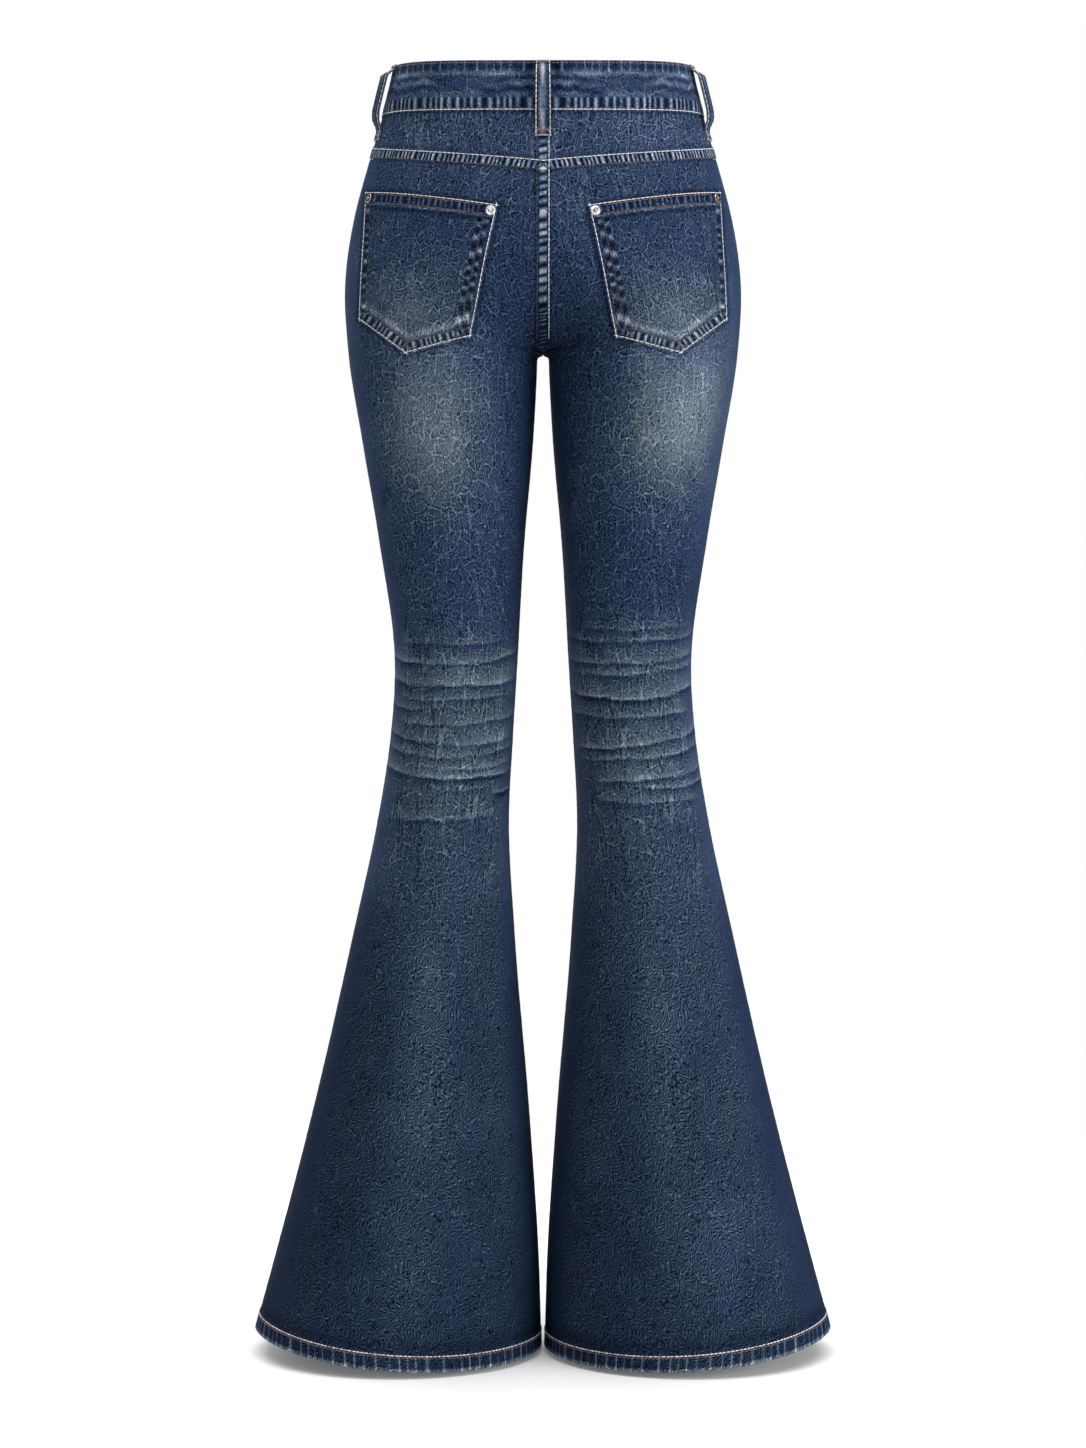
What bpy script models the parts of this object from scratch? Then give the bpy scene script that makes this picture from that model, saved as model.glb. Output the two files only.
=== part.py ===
"""A pair of flared jeans, filled out as if worn, with nobody in them.

The frame is in metres, +Z up. The origin is the middle of the waist opening, level with
the waistband's top edge at the side seams. The back of the jeans faces +Y, and +X is the
wearer's left. Lengths below are in millimetres, and a mesh is scaled to metres when it is made.

One smooth surface, called the skin, is the outer face of the cloth. A point of its left half
has an angle phi and a height z. phi is 0 at the side seam and grows towards the back, up to the
centre seam above the crotch or the inseam below it, and it falls the same way towards the
front. Each piece of cloth is a stretch of the skin with a thickness. The right half mirrors it.
"""

import math
from collections import namedtuple

import bmesh
import bpy
import numpy as np
from mathutils import Matrix, Vector

MM = 0.001
NAME = "flared_jeans"

# The skin, level by level: half widths and depths of one half, measured from the middle.
Section = namedtuple("Section", "z outer inner back front")
SECTIONS = (
    Section(20, 116.0, 4.5, 82, 86),
    Section(0, 119.5, 4.5, 85, 88),
    Section(-40, 129.0, 4.5, 92, 93),
    Section(-80, 140.5, 4.5, 103, 98),
    Section(-120, 151.0, 4.5, 114, 102),
    Section(-175, 158.3, 4.5, 122, 102),
    Section(-230, 155.8, 4.5, 110, 92),
    Section(-300, 145.0, 8.0, 91, 82),
    Section(-380, 131.8, 15.0, 75, 73),
    Section(-480, 119.6, 20.8, 61, 62),
    Section(-540, 123.6, 24.5, 58, 62),
    Section(-600, 133.0, 27.5, 62, 65),
    Section(-700, 154.5, 22.7, 73, 74),
    Section(-835, 185.5, 11.6, 87, 88),
    Section(-965, 219.5, 3.2, 101, 101),
    Section(-1045, 241.5, 1.2, 109, 109),
)

# Where the two halves part into legs.
SPLIT_TOP = -125
CROTCH = -230
CROTCH_SQUARENESS = 2.5
CROTCH_BLEND = 0.6
ARCH = 4.5
ARCH_SPREAD = 12
INSEAMS_PART = 30

# Edges and seams.
BAND_HEIGHT = 40
WAIST_DIP_BACK = 5
WAIST_DIP_FRONT = 20
YOKE_AT_CENTRE = -95.5
YOKE_AT_SIDE = -72.5
HEM = -1028
HEM_WIDTH = 14
HEM_SLOPE = 0.067
HEM_SLOPE_FROM = -640
SEAM_GAP = 0.3
HALF_GAP = SEAM_GAP / 2

# Thicknesses and reliefs.
CLOTH = 1.2
BAND_PROUD = 0.5
BAND_CLOTH = 2.4
BAND_LAP_GAP = 0.5
LAP_RELIEF = 0.5
LAP_HALF = 4.6
LAP_EDGE = 1.0
HEM_RELIEF = 0.5
HEM_CLOTH = 2.8
PATCH_GAP = 0.5
FACING_GAP = 0.7

# Front pocket mouths, back pockets, loops and fly.
MOUTH_SHARE = 0.46
MOUTH_DEPTH = 57
FACING_SHARE = 0.52
FACING_PAST_MOUTH = 14
LOOP_WIDTH = 12.4
LOOP_CLOTH = 1.6
LOOP_RISE = 6.5
SIDE_LOOP_ANGLE = 10
FRONT_LOOP_ANGLE = -60
LAP_UNDER = 26
STEP_LENGTH = 5
UNDER_SHORTER = 1.5
BUTTON_FROM_CENTRE = 13
BUTTON_RADIUS = 8.5
SHANK_RADIUS = 2.5
BUTTONHOLE_LENGTH = 15
BUTTONHOLE_HEIGHT = 5.8
RIVET_RADIUS = 4.5
RIVET_SHARES = {"inner": 0.045, "outer": 0.955}
RIVET_DOWN = 0.055
ZIP_HALF_WIDTH = 14
ZIP_HALF_TROUGH = 6
ZIP_TROUGH_SIDE = 2
ZIP_TROUGH = 2.9
ZIP_CLOTH = 1.0
ZIP_TOP = -64
ZIP_BOTTOM = -155
ZIP_BEHIND = 2.2
SLIDER_THICKNESS = 2.0
SLIDER_DOWN = 3
SLIDER_LENGTH = 22

# Steps along the sides of each piece's grid, and round each turned piece.
BAND_COLUMNS = 12
BAND_ROWS = 3
YOKE_ROWS = 4
BACK_COLUMNS = 10
FRONT_PLAIN_COLUMNS = 6
FRONT_MOUTH_COLUMNS = 7
FACING_COLUMNS = 8
FACING_ROWS = 5
POCKET_COLUMNS = 12
POCKET_ROWS = 8
LOOP_COLUMNS = 3
ZIP_ROWS = 6
RIVET_STEPS = 14
BUTTON_STEPS = 20
SHARP_ANGLE = 50

# A corner of a back pocket: how far it shows from the middle, and its height.
Corner = namedtuple("Corner", "x z")
POCKET = {
    "top_inner": Corner(34, -122),
    "top_outer": Corner(140, -104),
    "bottom_inner": Corner(56, -223),
    "bottom_tip": Corner(106, -236),
    "bottom_outer": Corner(144, -207),
}
POCKET_TIP_SHARE = 0.5

# A station of a belt loop, from its top end down: how far it is below an edge of the waistband,
# the cloth that lies under it, and its share of the loop's rise.
Station = namedtuple("Station", "edge below over rise")
LOOP_STATIONS = (
    Station("top", 0.5, "band", 0),
    Station("top", 4, "band", 0),
    Station("top", 7, "band", 0.55),
    Station("top", 10.5, "band", 1),
    Station("top", 24, "band", 1.04),
    Station("bottom", -2, "band", 1),
    Station("bottom", 5, "band", 0.72),
    Station("bottom", 9.5, "yoke", 0.22),
    Station("bottom", 13, "yoke", 0),
    Station("bottom", 20, "yoke", 0),
)

# The outlines of the turned pieces, from the top of the middle to the bottom of the middle.
Ring = namedtuple("Ring", "radius height")
RIVET_PROFILE = (
    Ring(0, 1.7),
    Ring(1.4, 1.6),
    Ring(2.2, 0.9),
    Ring(3.2, 1.0),
    Ring(4.1, 0.7),
    Ring(RIVET_RADIUS, 0.1),
    Ring(RIVET_RADIUS, 0),
    Ring(0, 0),
)
BUTTON_UNDERSIDE = SEAM_GAP - BAND_CLOTH - BAND_LAP_GAP
BUTTON_PROFILE = (
    Ring(0, 2.6),
    Ring(BUTTON_RADIUS * 0.62, 2.7),
    Ring(BUTTON_RADIUS * 0.8, 3.2),
    Ring(BUTTON_RADIUS * 0.95, 2.6),
    Ring(BUTTON_RADIUS, 1.5),
    Ring(BUTTON_RADIUS * 0.94, SEAM_GAP),
    Ring(SHANK_RADIUS, SEAM_GAP),
    Ring(SHANK_RADIUS, BUTTON_UNDERSIDE),
    Ring(0, BUTTON_UNDERSIDE),
)

# The outline of the zip's slider and its pull tab: half widths at distances down from its top.
Edge = namedtuple("Edge", "half_width down")
SLIDER_EDGES = (Edge(3, 0), Edge(4, 5), Edge(2.6, 8.5), Edge(2.6, SLIDER_LENGTH))

# A fold behind or in front of a knee: its height, how far its middle sags below its ends,
# how much higher it is at the side seam than at the inseam, and how far it stands out.
Fold = namedtuple("Fold", "z sag rise ridge")
TROUGH_SHARE = 0.3
FOLDS = {
    "back_left": (
        Fold(-460, 2, 1, 0.6),
        Fold(-478, 3, 2, 1.2),
        Fold(-494, 4, -2, 1.5),
        Fold(-509, 3, 2, 0.9),
        Fold(-525, 4, -5, 0.9),
        Fold(-547, 5, -3, 1.1),
        Fold(-561, 5, 3, 1.4),
        Fold(-580, 3, 6, 0.8),
        Fold(-597, 4, 2, 1.0),
    ),
    "back_right": (
        Fold(-450, 2, 0, 0.6),
        Fold(-467, 2, 2, 0.9),
        Fold(-485, 3, -2, 1.1),
        Fold(-504, 4, 1, 1.5),
        Fold(-519, 3, -3, 1.0),
        Fold(-533, 4, 6, 1.0),
        Fold(-552, 4, 2, 1.2),
        Fold(-569, 4, -2, 0.9),
        Fold(-585, 3, 4, 0.9),
    ),
    "front_left": (
        Fold(-470, 3, 3, 0.6),
        Fold(-503, 4, -2, 0.8),
        Fold(-540, 5, 3, 0.9),
        Fold(-578, 4, -3, 0.6),
    ),
    "front_right": (
        Fold(-462, 3, -3, 0.6),
        Fold(-496, 4, 3, 0.8),
        Fold(-533, 5, -2, 0.9),
        Fold(-571, 4, 3, 0.6),
    ),
}

# Levels of the plain rows above and below the knee, and where a panel's rows have settled level.
FRONT_LEVELS = (-78, -100, -122, -150, -175, -195, -210, -219.5, -225.5, -228.7)
SEAT_LEVELS = (-112, -130, -150, -175, -195, -210, -219.5, -225.5, -228.7)
ARCH_LEVELS = (-230, -230.6, -232, -234.5)
THIGH_LEVELS = (-245, -262, -285, -315, -350, -390, -430)
SHIN_LEVELS = (-622, -655, -695, -745, -800, -855, -910, -960, -995)
SEAT_SETTLES = -195
FRONT_SETTLES = -150
FRONT_EVEN_FROM = -110

Finish = namedtuple("Finish", "colour roughness metallic")
DENIM = Finish((0.030, 0.055, 0.120), 0.85, 0.0)
LOOP_DENIM = Finish((0.050, 0.085, 0.160), 0.85, 0.0)
RIVET_FINISHES = {
    "inner": Finish((0.75, 0.74, 0.72), 0.3, 1.0),
    "outer": Finish((0.55, 0.30, 0.18), 0.35, 1.0),
}
BUTTON_METAL = Finish((0.60, 0.58, 0.55), 0.35, 1.0)
ZIP_METAL = Finish((0.55, 0.45, 0.25), 0.35, 1.0)
ZIP_CLOTH_FINISH = Finish((0.02, 0.03, 0.06), 0.9, 0.0)


class Curve:
    """A smooth curve through given points, as a function of the first coordinate."""

    def __init__(self, xs, ys):
        order = np.argsort(xs)
        self.xs = np.asarray(xs, float)[order]
        self.ys = np.asarray(ys, float)[order]
        self.slopes = np.gradient(self.ys, self.xs)

    def __call__(self, at):
        piece = np.clip(np.searchsorted(self.xs, at) - 1, 0, len(self.xs) - 2)
        width = self.xs[piece + 1] - self.xs[piece]
        s = (at - self.xs[piece]) / width
        start = self.ys[piece] * (1 + 2 * s) * (1 - s) ** 2
        end = self.ys[piece + 1] * (3 - 2 * s) * s**2
        bends = self.slopes[piece] * s * (1 - s) ** 2 - self.slopes[piece + 1] * s**2 * (1 - s)
        return start + end + width * bends


PROFILE = {
    field: Curve([row.z for row in SECTIONS], [getattr(row, field) for row in SECTIONS])
    for field in ("outer", "inner", "back", "front")
}


def smooth_step(share):
    share = np.clip(share, 0, 1)
    return share**2 * (3 - 2 * share)


def parting(z):
    """How far the two halves have parted: 0 where they are one tube, and 1 from the crotch down."""
    share = np.clip((SPLIT_TOP - z) / (SPLIT_TOP - CROTCH), 0, 1)
    return share**2 * (2 - share**2)


def seat_seam(z):
    """How far out the seam between the halves lies, as a share of the section's depth."""
    share = np.clip((SPLIT_TOP - z) / (SPLIT_TOP - CROTCH), 0, 1)
    return (1 - share**CROTCH_SQUARENESS) ** (1 / CROTCH_SQUARENESS)


def ellipse(z):
    """Centre and radii of the left half's section at z: centre x, centre y, radius x, radius y."""
    outer = PROFILE["outer"](z)
    inner = PROFILE["inner"](z) * smooth_step((CROTCH - z) / INSEAMS_PART)
    apart = parting(z)
    legs = z < CROTCH
    radius_x = np.where(legs, (outer - inner) / 2, outer / (1 + apart))
    back = PROFILE["back"](z)
    front = PROFILE["front"](z)
    return outer - radius_x, (back - front) / 2, radius_x, (back + front) / 2


def arch_shift(z):
    """How far the inseams stand apart just below the crotch, more than the ellipses do."""
    down = np.clip((CROTCH - z) / ARCH, 0, 1)
    spare = 1 - smooth_step((CROTCH - z) / INSEAMS_PART)
    return PROFILE["inner"](z) * spare * np.sqrt(1 - (1 - down) ** 2)


def end_angle(z):
    """phi at the centre seam, or at the inseam below the crotch."""
    return np.arccos(-parting(z))


def skin(phi, z):
    """Points of the skin. Between the centre seam and the seat's fullest line, the cloth bridges."""
    centre_x, centre_y, radius_x, radius_y = ellipse(z)
    inward = np.clip(-np.cos(phi), 0, 1)
    depth = np.abs(np.sin(phi))
    bridge = seat_seam(z)
    blend = CROTCH_BLEND * bridge * (1 - bridge) + 1e-9
    overlap = np.clip(1 - np.abs(depth - bridge) / blend, 0, 1)
    bridged = np.maximum(depth, bridge) + overlap**2 * blend / 4
    depth = np.where((inward > 0) & (z < SPLIT_TOP), bridged, depth)
    x = centre_x + radius_x * np.cos(phi) + arch_shift(z) * inward**ARCH_SPREAD
    y = centre_y + radius_y * depth * np.sign(np.sin(phi))
    return np.stack([x, y, z + 0 * x], axis=-1)


def skin_normal(phi, z):
    turn = 1e-3
    drop = 0.2
    across = skin(phi + turn, z) - skin(phi - turn, z)
    up = skin(phi, z + drop) - skin(phi, z - drop)
    normal = np.cross(across, up)
    return normal / np.linalg.norm(normal, axis=-1, keepdims=True)


def seen_angle(x, z):
    """phi of the back's point that lies x from the middle."""
    centre_x, _, radius_x, _ = ellipse(z)
    return np.arccos(np.clip((x - centre_x) / radius_x, -1, 1))


def seam_share(level, distance):
    """The share of the turn from the back's centre seam or inseam that spans a distance on the skin."""
    shares = np.linspace(0, 0.5, 241)
    points = skin(end_angle(level) * (1 - shares), np.full(shares.shape, float(level)))
    steps = np.linalg.norm(np.diff(points, axis=0), axis=-1)
    return np.interp(distance, np.concatenate([[0], np.cumsum(steps)]), shares)


def band_top(phi):
    dip = np.where(np.sin(phi) > 0, WAIST_DIP_BACK, WAIST_DIP_FRONT)
    return -dip * np.sin(phi) ** 2


def band_bottom(phi):
    return band_top(phi) - BAND_HEIGHT


def yoke_seam(t):
    """Height of the yoke's lower edge, for t from 0 at the centre seam to 1 at the side seam."""
    return YOKE_AT_CENTRE + (YOKE_AT_SIDE - YOKE_AT_CENTRE) * t


def add_material(name, finish):
    made = bpy.data.materials.new(name)
    made.use_nodes = True
    shader = made.node_tree.nodes["Principled BSDF"]
    shader.inputs["Base Color"].default_value = (*finish.colour, 1.0)
    shader.inputs["Roughness"].default_value = finish.roughness
    shader.inputs["Metallic"].default_value = finish.metallic
    return made


def add_object(name, mesh, finish):
    made = bpy.data.objects.new(name, mesh)
    PARTS.objects.link(made)
    mesh.materials.append(add_material(name, finish))
    return made


def grid_faces(rows, columns, first):
    faces = []
    for i in range(rows - 1):
        for j in range(columns - 1):
            corner = first + i * columns + j
            faces.append((corner, corner + columns, corner + columns + 1, corner + 1))
    return faces


def rim_loop(rows, columns):
    """Indices round the edge of a grid."""
    top = list(range(columns))
    right = [i * columns + columns - 1 for i in range(1, rows)]
    bottom = [(rows - 1) * columns + j for j in range(columns - 2, -1, -1)]
    left = [i * columns for i in range(rows - 2, 0, -1)]
    return top + right + bottom + left


def add_wall(name, outer, inner, finish):
    """A closed wall between two grids of points in millimetres."""
    rows, columns = outer.shape[:2]
    count = rows * columns
    points = np.concatenate([outer.reshape(-1, 3), inner.reshape(-1, 3)]) * MM
    faces = grid_faces(rows, columns, 0) + grid_faces(rows, columns, count)
    edge = rim_loop(rows, columns)
    for here, after in zip(edge, edge[1:] + edge[:1]):
        faces.append((here, after, after + count, here + count))
    work = bmesh.new()
    corners = [work.verts.new(point) for point in points]
    for face in faces:
        work.faces.new([corners[k] for k in face])
    bmesh.ops.recalc_face_normals(work, faces=work.faces[:])
    mesh = bpy.data.meshes.new(name)
    work.to_mesh(mesh)
    work.free()
    mesh.shade_smooth()
    mesh.set_sharp_from_angle(angle=math.radians(SHARP_ANGLE))
    return add_object(name, mesh, finish)


def draw_in(outer, inner, here, neighbour):
    """Moves an edge of both grids half a seam gap towards its neighbouring row or column."""
    along = outer[neighbour] - outer[here]
    along = along / np.linalg.norm(along, axis=-1, keepdims=True) * HALF_GAP
    outer[here] += along
    inner[here] += along


def add_cloth(name, side, phi, z, out=0.0, thickness=CLOTH, whole=False, finish=DENIM):
    """A piece of cloth over the skin, given grids of phi and z, its stand-off and thickness.

    side is 1 for the left half and -1 for the right. whole says that it crosses the middle.
    """
    place = skin(phi, z)
    normal = skin_normal(phi, z)
    centre = (np.abs(place[..., 0]) < 1e-6) & (z > CROTCH - 0.01)
    normal[centre, 0] = 0
    normal /= np.linalg.norm(normal, axis=-1, keepdims=True)
    out = np.broadcast_to(out, phi.shape)[..., None]
    thickness = np.broadcast_to(thickness, phi.shape)[..., None]
    outer = place + normal * out
    inner = outer - normal * thickness
    draw_in(outer, inner, np.s_[0, :], np.s_[1, :])
    draw_in(outer, inner, np.s_[-1, :], np.s_[-2, :])
    draw_in(outer, inner, np.s_[:, 0], np.s_[:, 1])
    draw_in(outer, inner, np.s_[:, -1], np.s_[:, -2])
    if not whole:
        for grid in (outer, inner):
            grid[..., 0] = np.maximum(grid[..., 0], HALF_GAP)
    mirror = np.array([side, 1, 1])
    return add_wall(name, outer * mirror, inner * mirror, finish)


def hem_slope(level):
    return HEM_SLOPE * smooth_step((HEM_SLOPE_FROM - level) / (HEM_SLOPE_FROM - HEM))


def tilted(level, phi):
    """Height of a row's points: below the knee the rows lean with the leg."""
    return level + hem_slope(level) * ellipse(level)[2] * np.cos(phi)


Row = namedtuple("Row", "level settle sag rise ridge")


def plain_row(level, settle=0.0):
    return Row(level, settle, 0, 0, 0)


def leg_rows(folds, first, settles, levels):
    """Rows of a leg panel from its top edge to its hem. settle is the top edge's share of a row."""
    rows = [plain_row(first, 1.0)]
    for level in levels + ARCH_LEVELS + THIGH_LEVELS:
        share = np.clip((level - settles) / (first - settles), 0, 1)
        rows.append(plain_row(level, share))
    before = None
    for fold in folds:
        if before:
            halfway = [(a + b) / 2 for a, b in zip(before, fold)]
            trough = -TROUGH_SHARE * min(before.ridge, fold.ridge)
            rows.append(Row(halfway[0], 0, halfway[1], halfway[2], trough))
        rows.append(Row(fold.z, 0, fold.sag, fold.rise, fold.ridge))
        before = fold
    rows += [plain_row(level) for level in SHIN_LEVELS]
    hem_top = HEM + HEM_WIDTH
    rows += [plain_row(hem_top + LAP_EDGE), plain_row(hem_top), plain_row(HEM)]
    return rows


def leg_panel(name, side, rows, turn, top_edge, shares, lap=0.0):
    """One leg panel. turn is 1 at the back and -1 at the front.

    shares(level) gives each column's t, from 0 at the centre seam to 1 at the side seam, and
    top_edge(t, phi) how far the top edge is from its first level.
    """
    phi, z, out, thickness = [], [], [], []
    for row in rows:
        t = shares(row.level)
        angle = turn * end_angle(row.level) * (1 - t)
        bow = 4 * t * (1 - t)
        level = row.level + row.settle * top_edge(t, angle) - row.sag * bow + row.rise * (t - 0.5)
        angle = turn * end_angle(level) * (1 - t)
        hem = row.level <= HEM + HEM_WIDTH
        relief = row.ridge * bow + HEM_RELIEF * hem
        in_lap = (np.arange(len(t)) < 2) & (row.level > CROTCH)
        phi.append(angle)
        z.append(tilted(level, angle))
        out.append(relief + lap * in_lap)
        thickness.append(0 * t + (HEM_CLOTH if hem else CLOTH))
    return add_cloth(name, side, *map(np.array, (phi, z, out, thickness)))


def back_shares(level):
    """Columns of a yoke or a back leg: the seat seam's lap, then even steps to the side seam."""
    lap = [0, seam_share(level, LAP_HALF), seam_share(level, LAP_HALF + LAP_EDGE)]
    return np.concatenate([lap, np.linspace(lap[-1], 1, BACK_COLUMNS + 1)[1:]])


def mouth_drop(t):
    """How far the front pocket's mouth is below the band, 0 before the mouth begins."""
    across = np.clip((1 - t) / MOUTH_SHARE, 0, 1)
    return MOUTH_DEPTH * np.sqrt(1 - across**2)


def front_shares(level):
    """Columns of a front leg: near the waist some follow the pocket's mouth, and lower all are even."""
    plain = np.linspace(0, 1 - MOUTH_SHARE, FRONT_PLAIN_COLUMNS + 1)[:-1]
    turns = np.linspace(0, math.pi / 2, FRONT_MOUTH_COLUMNS + 1)
    mouth = np.concatenate([plain, 1 - MOUTH_SHARE * np.cos(turns)])
    even = np.linspace(0, 1, len(mouth))
    lower = smooth_step((FRONT_EVEN_FROM - level) / (FRONT_EVEN_FROM - CROTCH))
    return mouth + (even - mouth) * lower


def add_band(name, side, under):
    """Half of the waistband, from the centre back round to the centre front and, if under, past it."""
    fronts = np.linspace(0, -math.pi / 2, BAND_COLUMNS + 1)
    if under:
        radius = ellipse(np.array(-BAND_HEIGHT))[2]
        ends = (STEP_LENGTH + 1, 1, -LAP_UNDER / 2, -LAP_UNDER)
        fronts = np.concatenate([fronts[:-1], [-math.acos(x / radius) for x in ends]])
    backs = np.linspace(math.pi / 2, 0, BAND_COLUMNS + 1)
    rows = np.linspace(0, 1, BAND_ROWS + 1)[:, None]
    phi = np.concatenate([backs[:-1], fronts])[None, :] + 0 * rows
    z = band_top(phi) * (1 - rows) + band_bottom(phi) * rows
    out = np.full(phi.shape, BAND_PROUD)
    if under:
        out[:, -3:] -= BAND_CLOTH + BAND_LAP_GAP
        z[-1, -3:] += UNDER_SHORTER
    return add_cloth(name, side, phi, z, out, BAND_CLOTH, whole=under)


def add_yoke(name, side):
    """A back yoke, which stands out a little where the seat seam and its own lower seam are lapped."""
    t = back_shares(YOKE_AT_CENTRE)
    phi = (end_angle(YOKE_AT_CENTRE) * (1 - t))[None, :]
    top = band_bottom(phi)
    bottom = yoke_seam(t)[None, :]
    lap_top = bottom + 2 * LAP_HALF
    rows = np.linspace(0, 1, YOKE_ROWS + 1)[:, None]
    z = np.concatenate([top + (lap_top + LAP_EDGE - top) * rows, lap_top, bottom])
    out = np.zeros(z.shape)
    out[:, :2] = LAP_RELIEF
    out[-2:] = LAP_RELIEF
    return add_cloth(name, side, phi + 0 * z, z, out)


def add_back_leg(name, side, folds):
    def top_edge(t, phi):
        return yoke_seam(t) - YOKE_AT_CENTRE

    rows = leg_rows(folds, YOKE_AT_CENTRE, SEAT_SETTLES, SEAT_LEVELS)
    return leg_panel(name, side, rows, 1, top_edge, back_shares, LAP_RELIEF)


def add_front_leg(name, side, folds):
    first = band_bottom(-math.pi / 2)

    def top_edge(t, phi):
        return band_bottom(phi) - mouth_drop(t) - first

    rows = leg_rows(folds, first, FRONT_SETTLES, FRONT_LEVELS)
    return leg_panel(name, side, rows, -1, top_edge, front_shares)


def add_facing(name, side):
    """The cloth that shows in a front pocket's mouth, behind the front leg's edge."""
    t = np.linspace(1 - FACING_SHARE, 1, FACING_COLUMNS + 1)
    phi = (-math.pi / 2 * (1 - t))[None, :]
    top = band_bottom(phi)
    across = np.clip((1 - t) / FACING_SHARE, 0, 1)
    depth = FACING_PAST_MOUTH + MOUTH_DEPTH * np.sqrt(1 - across**2)
    rows = np.linspace(0, 1, FACING_ROWS + 1)[:, None]
    z = top - depth[None, :] * rows
    return add_cloth(name, side, phi + 0 * z, z, -CLOTH - FACING_GAP)


def pocket_point(share, down):
    """phi and z on a back pocket, for share from 0 at the inner side and down from 0 at the top."""

    def between(axis):
        top_inner, top_outer, inner, tip, outer = [getattr(POCKET[name], axis) for name in POCKET]
        near = np.clip(share / POCKET_TIP_SHARE, 0, 1)
        far = np.clip((share - POCKET_TIP_SHARE) / (1 - POCKET_TIP_SHARE), 0, 1)
        low = inner * (1 - near) + tip * (near - far) + outer * far
        return (top_inner * (1 - share) + top_outer * share) * (1 - down) + low * down

    z = between("z")
    return seen_angle(between("x"), z), z


def add_pocket(name, side):
    shares = np.linspace(0, 1, POCKET_COLUMNS + 1)
    share, down = np.meshgrid(shares, np.linspace(0, 1, POCKET_ROWS + 1))
    phi, z = pocket_point(share, down)
    return add_cloth(name, side, phi, z, PATCH_GAP + CLOTH)


def add_loop(name, side, angle, lap=0.0):
    """A belt loop: sewn down at the band's top edge, standing off it, and sewn down on the yoke."""
    edges = {"top": band_top(angle), "bottom": band_bottom(angle)}
    covered = {"band": BAND_PROUD, "yoke": lap}
    heights = [edges[station.edge] - station.below for station in LOOP_STATIONS]
    lifts = [covered[station.over] + LOOP_RISE * station.rise for station in LOOP_STATIONS]
    _, _, radius_x, radius_y = ellipse(edges["bottom"])
    speed = math.hypot(radius_x * math.sin(angle), radius_y * math.cos(angle))
    across = np.linspace(LOOP_WIDTH / 2, -LOOP_WIDTH / 2, LOOP_COLUMNS + 1)[None, :] / speed
    z = np.array(heights)[:, None] + 0 * across
    out = np.array(lifts)[:, None] + SEAM_GAP + LOOP_CLOTH
    return add_cloth(name, side, angle + across + 0 * z, z, out, LOOP_CLOTH, True, LOOP_DENIM)


def turned(name, profile, steps, finish):
    """A turned solid about Z from its rings, top to bottom."""
    mesh = bpy.data.meshes.new(name)
    edges = [(k, k + 1) for k in range(len(profile) - 1)]
    mesh.from_pydata([(ring.radius * MM, 0, ring.height * MM) for ring in profile], edges, [])
    made = add_object(name, mesh, finish)
    screw = made.modifiers.new("turn", "SCREW")
    screw.axis = "Z"
    screw.steps = steps
    screw.render_steps = steps
    screw.use_merge_vertices = True
    screw.merge_threshold = 0.00001
    return made


def stand_on(made, side, phi, z, out):
    """Puts an object's +Z along the skin's normal, with its origin off the skin by out."""
    mirror = np.array([side, 1, 1])
    place = (skin(phi, z) + skin_normal(phi, z) * out) * mirror * MM
    turn = Vector(skin_normal(phi, z) * mirror).to_track_quat("Z", "Y")
    made.matrix_world = Matrix.Translation(Vector(place)) @ turn.to_matrix().to_4x4()
    return made


def add_rivet(name, side, corner):
    made = turned(name, RIVET_PROFILE, RIVET_STEPS, RIVET_FINISHES[corner])
    phi, z = pocket_point(RIVET_SHARES[corner], RIVET_DOWN)
    return stand_on(made, side, phi, z, PATCH_GAP + CLOTH + SEAM_GAP)


def button_place():
    z = np.array(band_top(-math.pi / 2) - BAND_HEIGHT * 0.5)
    phi = -math.acos(BUTTON_FROM_CENTRE / ellipse(z)[2])
    return phi, z


def add_button():
    """The shank button, whose shank goes through the buttonhole to the band's other end."""
    made = turned("waist_button", BUTTON_PROFILE, BUTTON_STEPS, BUTTON_METAL)
    return stand_on(made, 1, *button_place(), BAND_PROUD)


def cut_buttonhole(band):
    bpy.ops.mesh.primitive_cube_add(size=1)
    cutter = bpy.context.active_object
    cutter.name = "buttonhole_cutter"
    for collection in list(cutter.users_collection):
        collection.objects.unlink(cutter)
    CUTTERS.objects.link(cutter)
    size = Vector((BUTTONHOLE_LENGTH, BUTTONHOLE_HEIGHT, BAND_CLOTH * 3)) * MM
    cutter.data.transform(Matrix.Diagonal((*size, 1)))
    phi, z = button_place()
    place = Vector((skin(phi, z) + skin_normal(phi, z) * (BAND_PROUD - BAND_CLOTH / 2)) * MM)
    normal = Vector(skin_normal(phi, z))
    across = Vector((0, 0, 1)).cross(normal).normalized()
    turn = Matrix((across, normal.cross(across), normal)).transposed().to_4x4()
    cutter.matrix_world = Matrix.Translation(place) @ turn
    cutter.hide_render = True
    cutter.display_type = "WIRE"
    cut = band.modifiers.new("buttonhole", "BOOLEAN")
    cut.operation = "DIFFERENCE"
    cut.solver = "EXACT"
    cut.object = cutter


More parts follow.
